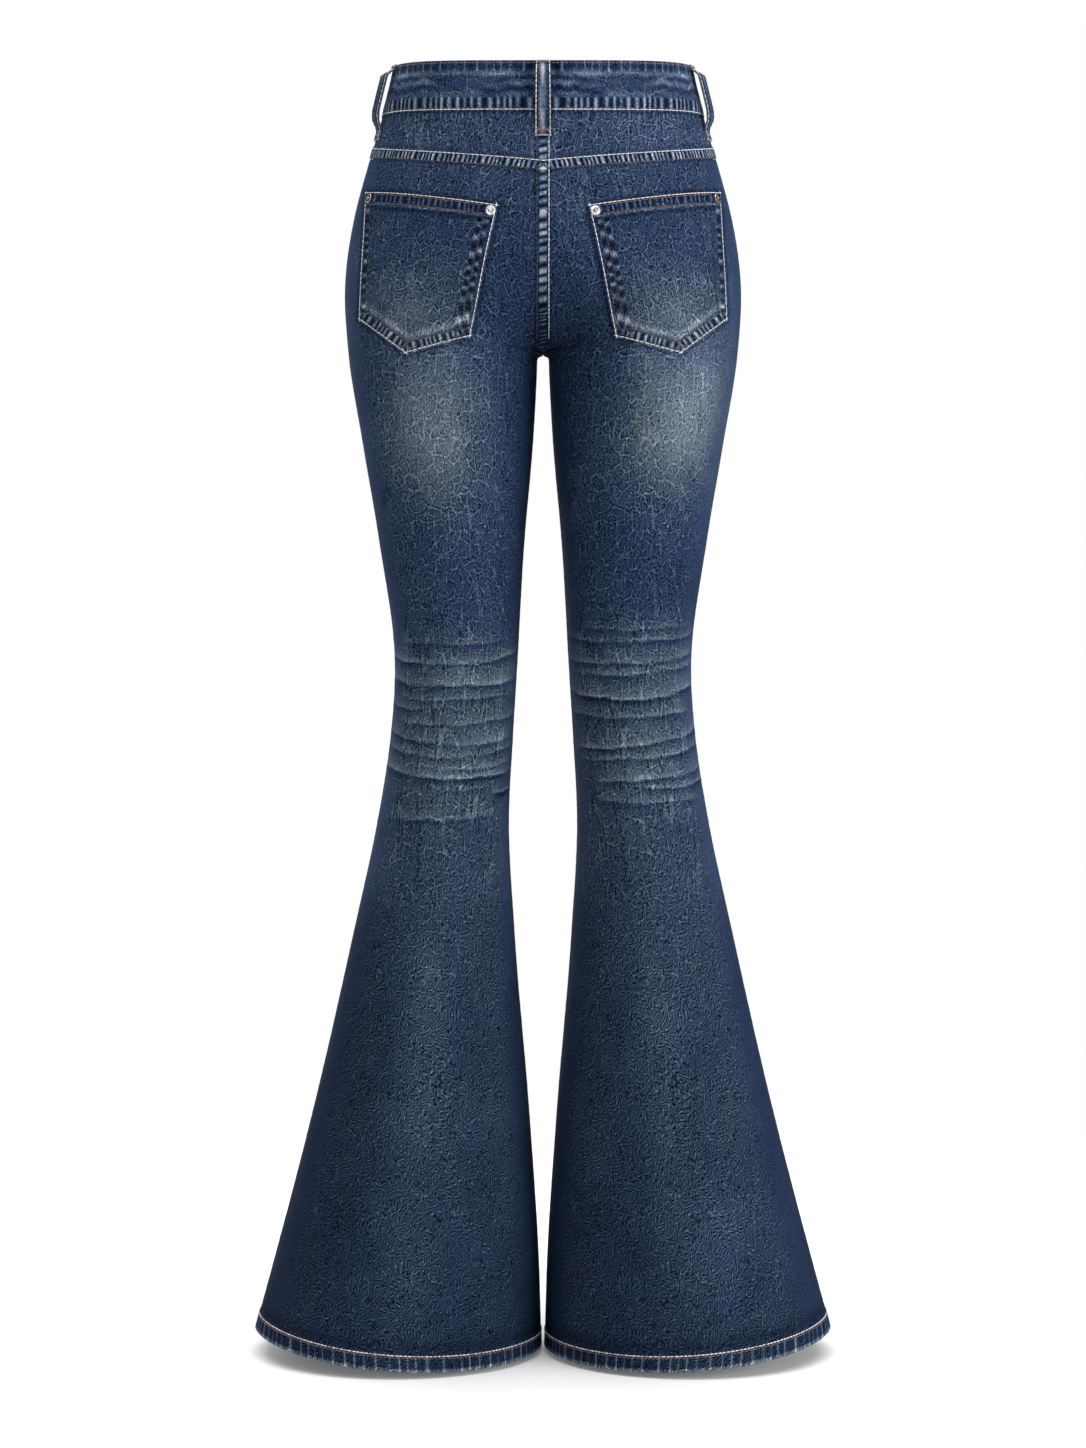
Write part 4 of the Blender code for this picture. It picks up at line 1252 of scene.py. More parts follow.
def leg_puckers(leg, level, z, u):
    """The marks of a leg panel's seams and hem."""
    puckers = Puckers(z.shape)
    inner = u - u[:, :1]
    outer = u[:, -1:] - u
    below_top = z[:1] - z
    if leg.turn > 0:
        seat = z > CROTCH + 2
        fading = np.interp(z, [-235, -203, -190], [0.3, 0.8, 1.25])
        puckers.add(np.where(seat, inner / 3.3, NOWHERE), seat_beat(z + leg.side * inner * 0.2), fading)
        puckers.add((below_top + 2.4) / 3.4, -u / 3.9 + 0.3, 0.5)
    else:
        puckers.add(below_top / 5.5, u / 5.3, 0.45)
        puckers.add(np.where(z > CROTCH + 2, inner / 4.5, NOWHERE), z / 6.4, 0.6)
    puckers.add(np.where(z < CROTCH - 2, inner / 5, NOWHERE), z / 7.3, 0.55)
    puckers.add(outer / 5.0, z / 8.1 + 0.4, 0.6)
    puckers.add((level - (HEM + HEM_WIDTH * 0.5)) / (HEM_WIDTH * 0.5), u / 8.6, 0.42)
    return puckers


def add_leg(leg, t, level):
    """One leg panel, with its abrasion and painted shade, creases, puckers and doubled hem."""
    level = level[:, None] + 0 * t
    phi, z, out = leg.form(t, level)
    points, _ = place(1, phi, z, out)
    along = arc_length(points)
    u = (along - along[:, along.shape[1] // 2, None]) * leg.side
    x = points[..., 0]
    wear, relief = crease_marks(CREASES[leg.name], t, z, 100 if leg.side > 0 else 200)
    puckers = leg_puckers(leg, level, z, along)
    swell = 0.5 * (mottle(u / 42 + 3, z / 55, seed=21) - 0.5) + 0.25 * (mottle(u / 17, z / 19, seed=22) - 0.5)
    inside_edges = np.clip(np.minimum(along, along[:, -1:] - along) / 14, 0, 1)
    out = out + relief + swell * inside_edges + puckers.relief(0.28)
    shown = leg_level(leg, x, z, u) + wear
    if leg.turn > 0:
        shown = shown - np.where(z > CROTCH + 3, seat_seam_dark(along), 0)
    shown = shown - 10 * bell(level - HEM_TOP - 5, 4.5) - 1 * (level < HEM_TOP - 0.3)
    shown = shown + 100 * smooth_step((HEM + 3.2 - level) / 1.4) * (0.5 + 0.6 * rope(u / 2.4))
    thickness = CLOTH + (HEM_CLOTH - CLOTH) * smooth_step(HEM_TOP + 0.5 - level)
    cut = np.stack([u + CUT_FROM["leg"] * leg.turn, z + 0 * u], -1)
    panel, half = leg.name.split("_")
    smooth_edges = leg_edges(x, z)
    faded = np.clip((shown - 66) / 22, 0, 1) * smooth_step((-235 - z) / 40)
    washed = np.clip(0.62 * smooth_step((-400 - z) / 120) + 0.9 * faded, 0, 1)
    made = cloth(
        f"{panel}_leg_denim_{half}", leg.side, phi, z, out, thickness, cut, shown, puckers, (2, 4),
        plain=smooth_edges, washed=washed * (1 - 0.6 * smooth_edges),
    )
    finish_cloth(made, f"{panel}_leg_{half}")


def back_columns(level):
    """Columns of a back leg: fine over the seat seam's lap and beside the side seam."""
    lap = LAP_SHARE(level)[:, None] * np.linspace(0, 1, 6)
    edge = LAP_EDGE_SHARE(level)[:, None]
    middle = lap[:, -1:] + (edge - lap[:, -1:]) * np.array([[0.5, 1.0]])
    share = np.concatenate([np.linspace(0, 0.96, 118)[1:], np.linspace(0.96, 1, 7)[1:]])
    return np.concatenate([lap, middle, edge + (1 - edge) * share], axis=1)


def front_columns(level):
    """Columns of a front leg: near the waist some follow the pocket's mouth."""
    plain = np.linspace(0, 1 - MOUTH_SHARE, 59)[:-1]
    mouth = np.concatenate([plain, 1 - MOUTH_SHARE * np.cos(np.linspace(0, QUARTER, 70))])
    even = np.linspace(0, 1, len(mouth))
    lower = smooth_step((FRONT_EVEN_FROM - level) / (FRONT_EVEN_FROM - CROTCH))
    return mouth + (even - mouth) * lower[:, None]


def back_leg(half, side):
    leg = Leg(
        f"back_{half}", side, 1, YOKE_AT_CENTRE, SEAT_SETTLES,
        lambda t, phi: yoke_seam(t) - YOKE_AT_CENTRE,
    )
    level = spans((YOKE_AT_CENTRE, TOP_ROWS_APART), *LOWER_ROWS)
    add_leg(leg, back_columns(level), level)
    return leg


def front_leg(half, side):
    first = band_bottom(FRONT)
    leg = Leg(
        f"front_{half}", side, -1, first, FRONT_SETTLES,
        lambda t, phi: band_bottom(phi) + 2 * HALF_GAP - mouth_drop(t) - first,
    )
    level = spans((first, TOP_ROWS_APART), *LOWER_ROWS)
    add_leg(leg, front_columns(level), level)
    return leg


# Rows of stitches past the mouth's edge, half a front panel's width, the fly's curved rows and edge
# row out from the centre, and the heights where they start and where they turn.
MOUTH_ROWS = (2.0, 7.5)
HALF_FRONT = 175
FLY_ROWS = (38, 32)
FLY_EDGE_ROW = 3.0
FLY_TOP = -63
FLY_TURNS = -128


def sew_mouth(side):
    """The rows of stitches round a front pocket's mouth."""
    turn = np.linspace(0.02, 1.5, 90)
    for past in MOUTH_ROWS:
        phi = FRONT * (MOUTH_SHARE + past / HALF_FRONT) * np.sin(turn)
        sew("cream", side, phi, band_bottom(phi) - (MOUTH_DEPTH + past) * np.cos(turn), 0)


def sew_fly():
    """Two curved rows that hold the zip's flap, and one down its edge."""
    turn = np.linspace(0, QUARTER, 40)
    for edge in FLY_ROWS:
        x = np.concatenate([np.full(40, edge), FLY_EDGE_ROW + (edge - FLY_EDGE_ROW) * np.cos(turn)])
        z = np.concatenate([np.linspace(FLY_TOP, FLY_TURNS, 40), FLY_TURNS - (edge + 4) * np.sin(turn)])
        sew("cream", 1, -seen_angle(x, z), z, 0)
    z = np.linspace(FLY_TOP + 1, CROTCH + 12, 120)
    sew("cream", 1, -seen_angle(np.full(z.shape, FLY_EDGE_ROW), z), z, 0)


# The hem's threads, and how far below its upper edge they lie.
HEM_ROWS = (("hem", 1.1), ("rust", 2.7))


def sew_leg(leg):
    """The stitches of a leg panel's hem."""
    t = np.linspace(0.004, 0.996, 160)
    for kind, down in HEM_ROWS:
        sew(kind, leg.side, *leg.form(t, np.full(t.shape, HEM_TOP - down)))


def add_yoke(half, side):
    """A yoke: its lower edge laps over the leg, and the left and right meet in the seat seam."""
    phi_end = end_angle(YOKE_AT_CENTRE)
    lap = LAP_SHARE(np.array([YOKE_AT_CENTRE])) * np.linspace(0, 1, 8)
    edge = LAP_EDGE_SHARE(YOKE_AT_CENTRE)
    t = np.concatenate([lap, [(lap[-1] + edge) / 2], np.linspace(edge, 1, 170)])[None, :]
    phi = phi_end * (1 - t)
    top = band_bottom(phi) + 2 * HALF_GAP
    bottom = yoke_seam(t)
    share = np.linspace(0, 1, 30)[:, None]
    lap_top = bottom + 2 * LAP_HALF
    low = np.linspace(0, 1, 12)[:, None]
    z = np.concatenate([top + (lap_top + LAP_EDGE - top) * share, lap_top + (bottom - lap_top) * low])
    above = z - bottom
    out = LAP_RELIEF * np.maximum(
        smooth_step((2 * LAP_HALF + LAP_EDGE - above) / LAP_EDGE),
        smooth_step((edge - t) / (edge - lap[-1])) + 0 * above,
    )
    points, _ = place(1, phi, z, out)
    along = arc_length(points)
    puckers = Puckers(z.shape)
    puckers.add((above - LAP_HALF) / 3.3, -along / 4.1 - above * 0.08, 1.15)
    puckers.add(along / 3.3, seat_beat(z + side * along * 0.2), 1.25)
    puckers.add((top - z - 1) / 4.5, along / 5.3, 0.3)
    out = out + puckers.relief(0.35) + 0.4 * (mottle(along / 40, z / 30, seed=14) - 0.5)
    x = points[..., 0]
    shown = 69 + 5 * bell(x - 70, 45) + 0 * z
    # Dark lines at the yoke's lower edge and beside the lap's upper stitches, a painted shadow under the
    # band, and another just above the lap's raised edge.
    shown = shown - 14 * bell(above + 0.3, 1.0) - 12 * bell(above - 2 * LAP_HALF + 1.6, 0.8)
    shown = shown - 20 * bell(top - z, 2.5) - 14 * bell(above - 2 * LAP_HALF - 1.6, 1.6)
    shown = shown * (1 + 0.2 * (mottle(along / 22, z / 24, seed=15) - 0.5)) - seat_seam_dark(along)
    cut = np.stack([along * side, z], -1)
    made = cloth(f"yoke_denim_{half}", side, phi + 0 * z, z, out, CLOTH, cut, shown, puckers, (2, 3))
    finish_cloth(made, f"yoke_{half}")
    line = np.linspace(0.003, 0.997, 150)
    angle = phi_end * (1 - line)
    down = np.linspace(band_bottom(BACK) - 1.5, CROTCH + 10, 130)
    sew("cream" if side < 0 else "brown", side, end_angle(down) * (1 - LAP_SHARE(down)), down, LAP_RELIEF)
    sew("cream", side, angle, yoke_seam(line) + 2 * LAP_HALF - 1.0, LAP_RELIEF + 0.1)
    sew("brown", side, angle, yoke_seam(line) + 1.2, LAP_RELIEF + 0.1)


def button_place():
    """phi and z of the waist button's middle."""
    z = band_top(FRONT) - BAND_HEIGHT * 0.5
    return -math.acos(BUTTON_FROM_CENTRE / float(ellipse(np.array(z))[2])), z


def cut_buttonhole(band):
    """Cuts the slot for the button's shank through the band, and sews round it."""
    phi, z = button_place()
    middle = skin(np.array(phi), np.array(z))
    count = 32
    turn = np.linspace(0, TURN, count, endpoint=False)
    straight = (BUTTONHOLE_LENGTH - BUTTONHOLE_HEIGHT) / 2 * np.sign(np.cos(turn))
    x = middle[0] + straight + BUTTONHOLE_HEIGHT / 2 * np.cos(turn)
    height = z + BUTTONHOLE_HEIGHT / 2 * np.sin(turn)
    front, back = [np.stack([x, middle[1] + away + 0 * x, height], -1) for away in (-9, 9)]
    ends = [list(reversed(range(count))), list(range(count, 2 * count))]
    sides = [[k, (k + 1) % count, (k + 1) % count + count, k + count] for k in range(count)]
    slot = new_mesh("slot", np.concatenate([front, back]), ends + sides)
    cutter = new_object("slot", slot, DENIM_INSIDE)
    hole = band.modifiers.new("buttonhole", "BOOLEAN")
    hole.operation = "DIFFERENCE"
    hole.solver = "MANIFOLD"
    hole.object = cutter
    holed = plain_mesh(band)
    band.modifiers.clear()
    band.data = holed
    bpy.data.objects.remove(cutter)
    turn = np.linspace(0, TURN, 60)
    x = middle[0] + (BUTTONHOLE_LENGTH / 2 + 1.6) * np.cos(turn)
    height = z + (BUTTONHOLE_HEIGHT / 2 + 1.2) * np.sin(turn)
    sew("tack", 1, -seen_angle(x, height), height, BAND_PROUD + 0.2)


def add_band(half, side):
    """Half the waistband. The right one goes on under the left one's buttonhole."""
    under = half == "right"
    backs = np.linspace(BACK, 0, 150)
    fronts = np.linspace(0, FRONT, 150)
    if under:
        radius = ellipse(np.array(-BAND_HEIGHT))[2]
        ends = spans((STEP_LENGTH + 1, 0.8), (1, 1.3), (-LAP_UNDER, 0))
        fronts = np.concatenate([fronts[:-4], -np.arccos(ends / radius)])
    phi = np.concatenate([backs[:-1], fronts])[None, :]
    edge_in = np.array([0, 0.35, 0.9, 1.8])
    share = np.concatenate([edge_in, np.linspace(2.6, BAND_HEIGHT - 2.6, 30), BAND_HEIGHT - edge_in[::-1]])
    share = (share / BAND_HEIGHT)[:, None]
    from_centre = ellipse(np.array(-BAND_HEIGHT))[2] * np.cos(phi)
    beyond = (phi < FRONT / 2) * under
    stepped = beyond * smooth_step((STEP_LENGTH + 1 - from_centre) / STEP_LENGTH)
    low = band_bottom(phi) + UNDER_SHORTER * stepped
    z = band_top(phi) * (1 - share) + low * share
    phi = phi + 0 * z
    down = share * BAND_HEIGHT + 0 * z
    near = np.minimum(down, BAND_HEIGHT - down)
    radius = BAND_CLOTH / 2
    rounding = radius - np.sqrt(np.clip(radius**2 - np.clip(radius - near, 0, None) ** 2, 0, None))
    points, _ = place(1, phi, z, 0)
    along = arc_length(points)
    puckers = Puckers(z.shape)
    puckers.add((BAND_HEIGHT - 6.0 - down) / 5.5, along / 6.4 + 0.3, 0.9)
    puckers.add((down - 5.0) / 4.5, along / 7.7, 0.38)
    pillow = 0.3 * np.clip(near / 6, 0, 1) * (0.6 + 0.8 * mottle(along / 16, down / 14, 41 + side))
    groove = 0.25 * (bell(down - 2.4, 0.9) + bell(BAND_HEIGHT - 1.7 - down, 0.8))
    out = BAND_PROUD + pillow - groove - rounding * 0.8 + puckers.relief(0.3)
    out = out - stepped * (BAND_CLOTH + BAND_LAP_GAP)
    shown = 69 + 40 * bell(down - 11, 2.4) * (0.4 + mottle(along / 12, down / 20, seed=43))
    # Painted shade just under the band's top edge.
    shown = shown - 24 * bell(down - 5, 1.8) + 10 * bell(BAND_HEIGHT - 9 - down, 5)
    uneven_down = down + 2.5 * wander(along / 14, seed=46)
    # Painted light and shade of uneven horizontal folds, and a painted shadow beside the back belt loop.
    folds = np.sin(uneven_down / 1.45 + 2.2 * mottle(along / 40, down / 60, seed=45))
    folds = folds * smooth_step((down - 8) / 4) * smooth_step((30 - down) / 5)
    shown = shown + 36 * folds * mottle(along / 20, down / 9, seed=47) - 24 * bell(along - 11, 5.5)
    shown = shown * (1 + 0.5 * (mottle(along / 14, down / 9, seed=44) - 0.5))
    shown = shown + 14 * smooth_step((0.8 - down) / 0.8)
    cut = np.stack([along * side, down + CUT_FROM["band"]], -1)
    thickness = BAND_CLOTH - rounding * 1.5
    made = cloth(
        f"waistband_denim_{half}", side, phi, z, out, thickness, cut, shown, puckers, (3, 4), whole=under,
        plain=0.4,
    )
    if not under:
        cut_buttonhole(made)
    finish_cloth(made, f"waistband_{half}")
    line = np.linspace(BACK - 0.01, FRONT + (0.09 if under else 0.03), 320)
    for kind, height in (
        ("rust", band_top(line) - 2.4),
        ("cream", band_bottom(line) + 1.7),
        ("brown", band_bottom(line) + 2.9),
    ):
        sew(kind, side, line, height, BAND_PROUD - 0.05)


def add_facing(half, side):
    """The cloth that shows in a front pocket's mouth."""
    t = np.linspace(1 - FACING_SHARE, 1, 60)[None, :]
    phi = FRONT * (1 - t)
    top = band_bottom(phi)
    across = np.clip((1 - t) / FACING_SHARE, 0, 1)
    depth = FACING_PAST_MOUTH + MOUTH_DEPTH * np.sqrt(1 - across**2)
    share = np.linspace(0, 1, 32)[:, None]
    z = top - depth * share
    phi = phi + 0 * z
    points, _ = place(1, phi, z, 0)
    along = arc_length(points)
    shown = 46 + 8 * (mottle(along / 14, z / 14, seed=61) - 0.5)
    cut = np.stack([along * side + CUT_FROM["facing"], z], -1)
    out = -CLOTH - FACING_GAP + 0 * z
    made = cloth(f"pocket_facing_denim_{half}", side, phi, z, out, CLOTH, cut, shown, Puckers(z.shape))
    finish_cloth(made, f"pocket_facing_{half}")


def pocket_point(share, down):
    """phi and z on a back pocket, for share from 0 at the inner side and down from 0 at the top."""

    def between(axis):
        top_inner, top_outer, inner, tip, outer = [getattr(POCKET[name], axis) for name in POCKET]
        near = np.clip(share / POCKET_TIP_SHARE, 0, 1)
        far = np.clip((share - POCKET_TIP_SHARE) / (1 - POCKET_TIP_SHARE), 0, 1)
        low = inner * (1 - near) + tip * (near - far) + outer * far
        return (top_inner * (1 - share) + top_outer * share) * (1 - down) + low * down

    z = between("z")
    return seen_angle(between("x"), z), z


POCKET_EDGES = (
    ("top_inner", "top_outer"),
    ("top_outer", "bottom_outer"),
    ("bottom_outer", "bottom_tip"),
    ("bottom_tip", "bottom_inner"),
    ("bottom_inner", "top_inner"),
)


def edge_distances(x, z):
    """Distance of points inwards from each edge of a back pocket, and along it."""
    found = []
    for a, b in POCKET_EDGES:
        start = np.array(POCKET[a], float)
        end = np.array(POCKET[b], float)
        length = np.linalg.norm(end - start)
        along = (end - start) / length
        inward = np.array([along[1], -along[0]])
        found.append(((x - start[0]) * inward[0] + (z - start[1]) * inward[1],
                      (x - start[0]) * along[0] + (z - start[1]) * along[1]))
    return found


def inset(distances):
    """Corners of the pocket's outline moved in by one distance for each edge."""
    corners = []
    for k in range(len(POCKET_EDGES)):
        lines = []
        for edge in (k - 1, k):
            a, b = POCKET_EDGES[edge]
            start, end = np.array(POCKET[a], float), np.array(POCKET[b], float)
            along = (end - start) / np.linalg.norm(end - start)
            lines.append((np.array([along[1], -along[0]]), start, distances[edge]))
        normals = np.array([line[0] for line in lines])
        sums = [line[0] @ line[1] + line[2] for line in lines]
        corners.append(np.linalg.solve(normals, sums))
    return corners


def dotted(a, b, step=2.0):
    """Points from a to b, about a step apart."""
    count = max(2, int(np.linalg.norm(np.subtract(b, a)) / step))
    return np.linspace(a, b, count)


def add_pocket(half, side):
    """A back patch pocket with a pointed bottom, a hem and an inner row of stitches."""
    share, down = np.meshgrid(np.linspace(0, 1, 105), np.linspace(0, 1, 105))
    phi, z = pocket_point(share, down)
    points, _ = place(1, phi, z, POCKET_OUT)
    along = arc_length(points)
    seen_x = ellipse(z)[0] + ellipse(z)[2] * np.cos(phi)
    away, way = np.array(edge_distances(seen_x, z)).swapaxes(0, 1)
    top, outer, low_outer, low_inner, inner = away
    puckers = Puckers(z.shape)
    puckers.add((top - POCKET_HEM * 0.52) / 3.6, way[0] / 4.4, 0.6)
    for edge in (2, 3):
        puckers.add((away[edge] - 5.0) / 3.2, way[edge] / 4.3, 0.85)
    below_hem = top > POCKET_HEM + 3
    for middle in (POCKET_ROW - 2.7, POCKET_ROW + 2.7):
        across = np.where(below_hem, (inner - middle) / 1.9, NOWHERE)
        puckers.add(across, way[4] / 10.2 + 0.07 * middle, 0.8)
    puckers.add(np.where(below_hem, (outer - 4.4) / 1.7, NOWHERE), way[1] / 8.5, 0.7)
    nearest = away.min(axis=0)
    rounding = 0.5 * smooth_step(1 - nearest / 1.6)
    groove = 0.2 * bell(nearest - 1.7, 0.7)
    row = np.abs(away[1:] - POCKET_ROW).min(axis=0)
    row_groove = 0.3 * bell(row, 1.1) * (top > POCKET_HEM)
    hem_step = 0.35 * smooth_step((POCKET_HEM + 0.6 - top) / 1.0)
    out = POCKET_OUT + puckers.relief(0.3) - rounding - groove - row_groove + hem_step
    out = out + 0.5 * (mottle(along / 30, z / 30, seed=51) - 0.5)
    fade = smooth_step((-150 - z) / 60)
    bottom = np.minimum(low_outer, low_inner) - POCKET_ROW
    shown = 60 + 37 * fade * bell(seen_x - 98, 42) - 6 * smooth_step((top - 40) / 60) * (1 - fade)
    shown = shown + 42 * bell(bottom - 3.2, 2.6) * (0.6 + 0.8 * mottle(along / 4, z / 9, seed=52))
    shown = shown + 9 * smooth_step(-bottom / 2)
    shown = shown - 16 * bell(row, 0.9) * (top > POCKET_HEM + 1)
    # A painted highlight just below the hem's lower edge.
    shown = shown + 50 * bell(top - POCKET_HEM - 1.0, 0.7) - 6 * (top < POCKET_HEM)
    shown = shown - 22 * bell(top - POCKET_HEM - 3.6, 1.8)
    # Painted shade just inside the edge's stitches, and a worn pale edge.
    shown = shown - 12 * bell(nearest - 2.9, 1.0) + 26 * smooth_step((0.7 - nearest) / 0.7)
    shown = shown * (1 + 0.16 * (mottle(along / 17, z / 17, seed=53) - 0.5))
    cut = np.stack([along * side + CUT_FROM["pocket"], z], -1)
    made = cloth(
        f"back_pocket_denim_{half}", side, phi, z, out, CLOTH, cut, shown, puckers, washed=fade * 0.7,
    )
    finish_cloth(made, f"back_pocket_{half}")
    sew_pocket(side)


# Rows of stitches on a back pocket: thread, distance in from each edge, the edges that they follow,
# and how far they are lifted.
Row = namedtuple("Row", "kind inset edges lift")
POCKET_ROWS = listed(
    Row,
    ("cream", (0.9, 1.7, 1.7, 1.7, 1.5), (0,), 0.35),
    ("cream", (0.9, 1.7, 1.7, 1.7, 1.5), (1, 2, 3, 4), 0.12),
    ("rust", (2.4, 13.0, 3.0, 3.0, 13.0), (0,), 0.4),
    ("rust", (POCKET_HEM, 11.0, 3.0, 3.0, 11.0), (0,), 0.35),
    ("brown", (POCKET_HEM + 1, POCKET_ROW, POCKET_ROW, POCKET_ROW, POCKET_ROW), (1, 2, 3, 4), -0.15),
)


def sew_pocket(side):
    """The rows of stitches on a back pocket."""
    for row in POCKET_ROWS:
        corners = inset(row.inset)
        for edge in row.edges:
            x, z = dotted(corners[edge], corners[(edge + 1) % 5]).T
            sew(row.kind, side, seen_angle(x, z), z, POCKET_OUT - 0.1 + row.lift)


def loop_form(angle, lap):
    """Heights and stand-offs of a belt loop's outer face, from its top end down."""
    edges = {"top": band_top(angle), "bottom": band_bottom(angle)}
    covered = {"band": BAND_PROUD, "yoke": lap}
    heights = np.array([edges[station.edge] - station.below for station in LOOP_STATIONS])
    lifts = np.array([covered[station.over] + LOOP_RISE * station.rise for station in LOOP_STATIONS])
    return heights, lifts


# A belt loop's threads and where they lie across it, and half the width of its bar tacks.
LOOP_ROWS = (
    ("cream", 1.0 - LOOP_WIDTH / 2), ("cream", LOOP_WIDTH / 2 - 1.0), ("brown", 3.5), ("brown", -3.5),
)
TACK_HALF = 4.4


def add_loop(name, side, angle, lap=0.0, twist=0.0):
    """A belt loop. lap is how far the cloth under its lower end stands out, and twist its turn."""
    heights, lifts = loop_form(angle, lap)
    _, _, radius_x, radius_y = ellipse(band_bottom(angle))
    speed = math.hypot(radius_x * math.sin(angle), radius_y * math.cos(angle))
    station = np.linspace(0, len(heights) - 1, 100)
    stations = np.arange(len(heights))
    z = np.interp(station, stations, heights)[:, None]
    lift = np.interp(station, stations, lifts)
    kernel = np.array([1, 2, 3, 2, 1]) / 9
    lift = np.convolve(np.pad(lift, 2, mode="edge"), kernel, mode="valid")[:, None]
    across = np.linspace(LOOP_WIDTH / 2, -LOOP_WIDTH / 2, 25)[None, :]
    near = LOOP_WIDTH / 2 - np.abs(across)
    base = lift + 0.3 + LOOP_CLOTH
    tilt = -twist * across * np.clip(lift / LOOP_RISE, 0, 1)
    out = base + tilt - 0.35 * bell(near - 1.6, 0.7) - 0.35 * smooth_step(1 - near / 1.2) + 0 * z
    phi = angle + across / speed + 0 * z
    out = out + 0.12 * wander(z / 3.0, seed=71) * bell(across, 4)
    points, _ = place(1, phi, z, out)
    length = arc_length(points[:, 12])[:, None]
    pale = (40 if twist else 105) * bell(across + 0.6, 2.6)
    shown = 56 + pale * (0.3 + mottle(across / 3 + 5, length / 7, seed=72)) * smooth_step((66 - length) / 8)
    shown = shown + 120 * smooth_step((length - length[-1] + 1.4) / 0.6)
    shown = shown + 40 * smooth_step((0.6 - near) / 0.6) - 36 * bell(near - 2.5, 0.9)
    cut = np.stack([across + 0 * length + CUT_FROM["loop"], length + 0 * across], -1)
    made = cloth(
        name + "_denim", side, phi, z + 0 * phi, out, LOOP_CLOTH, cut, shown, Puckers(out.shape), (2, 2),
        whole=True, plain=0.8,
    )
    finish_cloth(made, name)
    rows = slice(5, -4)

    def stitch_row(kind, offset):
        lifted = base[rows, 0] - twist * offset * np.clip(lift[rows, 0] / LOOP_RISE, 0, 1)
        sew(kind, side, np.full(lifted.shape, angle + offset / speed), z[rows, 0], lifted - 0.1)

    for kind, offset in LOOP_ROWS if not twist else LOOP_ROWS[:2]:
        stitch_row(kind, offset)
    width = np.linspace(-TACK_HALF, TACK_HALF, 10) / speed
    for at in (z[4, 0], z[-8, 0]):
        height = np.interp(at, z[::-1, 0], base[::-1, 0])
        sew("tack", side, angle + width, np.full(10, at), height)


def add_zip_tape():
    """The zip's tape and teeth behind the fly."""
    half = np.array([ZIP_HALF_WIDTH, ZIP_HALF_TROUGH + ZIP_TROUGH_SIDE, ZIP_HALF_TROUGH])
    knots = np.concatenate([-half, half[::-1]])
    offsets = np.linspace(-ZIP_HALF_WIDTH, ZIP_HALF_WIDTH, 57)[None, :]
    trough = np.interp(offsets, knots, [0, 0, ZIP_TROUGH, ZIP_TROUGH, 0, 0])
    z = np.linspace(ZIP_TOP, ZIP_BOTTOM, 62)[:, None] + 0 * offsets
    centre_x, centre_y, radius_x, radius_y = ellipse(z)
    phi = -np.arccos(np.clip((np.abs(offsets) - centre_x) / radius_x, -1, 1))
    y = centre_y + radius_y * np.sin(phi) + ZIP_BEHIND + trough
    outer = np.stack([offsets + 0 * z, y, z], axis=-1)
    inner = outer + np.array([0, ZIP_CLOTH, 0])
    cut = np.stack([offsets + 0 * z, z], -1)
    made = wall("zip_tape_cloth", outer, inner, (2, 2), (ZIP_TAPE_CLOTH, ZIP_TAPE_CLOTH), cut, {})
    finish_cloth(made, "zip_tape")
    z = np.linspace(ZIP_TOP - 8, ZIP_BOTTOM + 4, 80)
    _, centre_y, _, radius_y = ellipse(z)
    teeth = np.stack([0 * z, centre_y - radius_y + ZIP_BEHIND + ZIP_TROUGH - 0.3, z], -1)
    SEWN["teeth"].append((teeth, np.tile([0.0, -1.0, 0.0], (80, 1))))


# ---------------------------------------------------------------- rivets and button


def turned(name, profile, steps, side, phi, z, out, material):
    """A turned piece standing on the skin, from its outline in radius and height, top to bottom."""
    turns = np.linspace(0, TURN, steps, endpoint=False)
    radius, height = np.array(profile, float).T
    ring = radius[1:-1, None]
    middle = np.stack([ring * np.cos(turns), ring * np.sin(turns), height[1:-1, None] + 0 * turns], -1)
    points = np.concatenate([[[0, 0, height[0]]], middle.reshape(-1, 3), [[0, 0, height[-1]]]])
    rings = 1 + np.arange((len(radius) - 2) * steps).reshape(-1, steps)
    looped = np.concatenate([rings, rings[:, :1]], axis=1)
    faces = quads(looped).tolist()
    faces += [[0, looped[0, k], looped[0, k + 1]] for k in range(steps)]
    last = len(points) - 1
    faces += [[last, looped[-1, k + 1], looped[-1, k]] for k in range(steps)]
    centre, normal = place(side, np.array(phi), np.array(z), np.array(out))
    turn = Vector(normal).to_track_quat("Z", "Y").to_matrix()
    points = points @ np.array(turn).T + centre
    mesh = new_mesh(name, points, faces)
    keep_values(mesh, {"radius": np.concatenate([[0], np.repeat(radius[1:-1], steps), [0]])})
    return new_object(name, mesh, material)


def eased(profile, radius=0.12):
    """An outline with each corner replaced by a short curve."""
    points = np.array(profile, float)
    made = [points[0]]
    for before, here, after in zip(points[:-2], points[1:-1], points[2:]):
        for other, order in ((before, (1.0, 0.45)), (after, (0.45, 1.0))):
            way = other - here
            length = np.linalg.norm(way)
            for share in order:
                made.append(here + way / length * min(radius, length * 0.3) * share)
    return made + [points[-1]]


# Outlines of turned pieces: radius and height, from the top's middle to the underside's.
RIVET_OUTLINE = (
    (0, 1.75), (0.9, 1.7), (1.35, 1.3), (1.7, 0.85), (2.4, 0.75), (3.1, 1.05), (3.9, 0.95), (4.4, 0.45),
    (4.5, 0.1), (4.4, 0.0), (0, 0.0),
)
BUTTON_OUTLINE = (
    (0, 2.4), (2.2, 2.5), (2.6, 2.2), (5.2, 2.2), (5.6, 2.75), (6.6, 3.15), (7.7, 2.9), (8.3, 2.2),
    (8.5, 1.4), (8.1, 0.35), (2.5, 0.3), (2.5, -2.6), (0, -2.6),
)


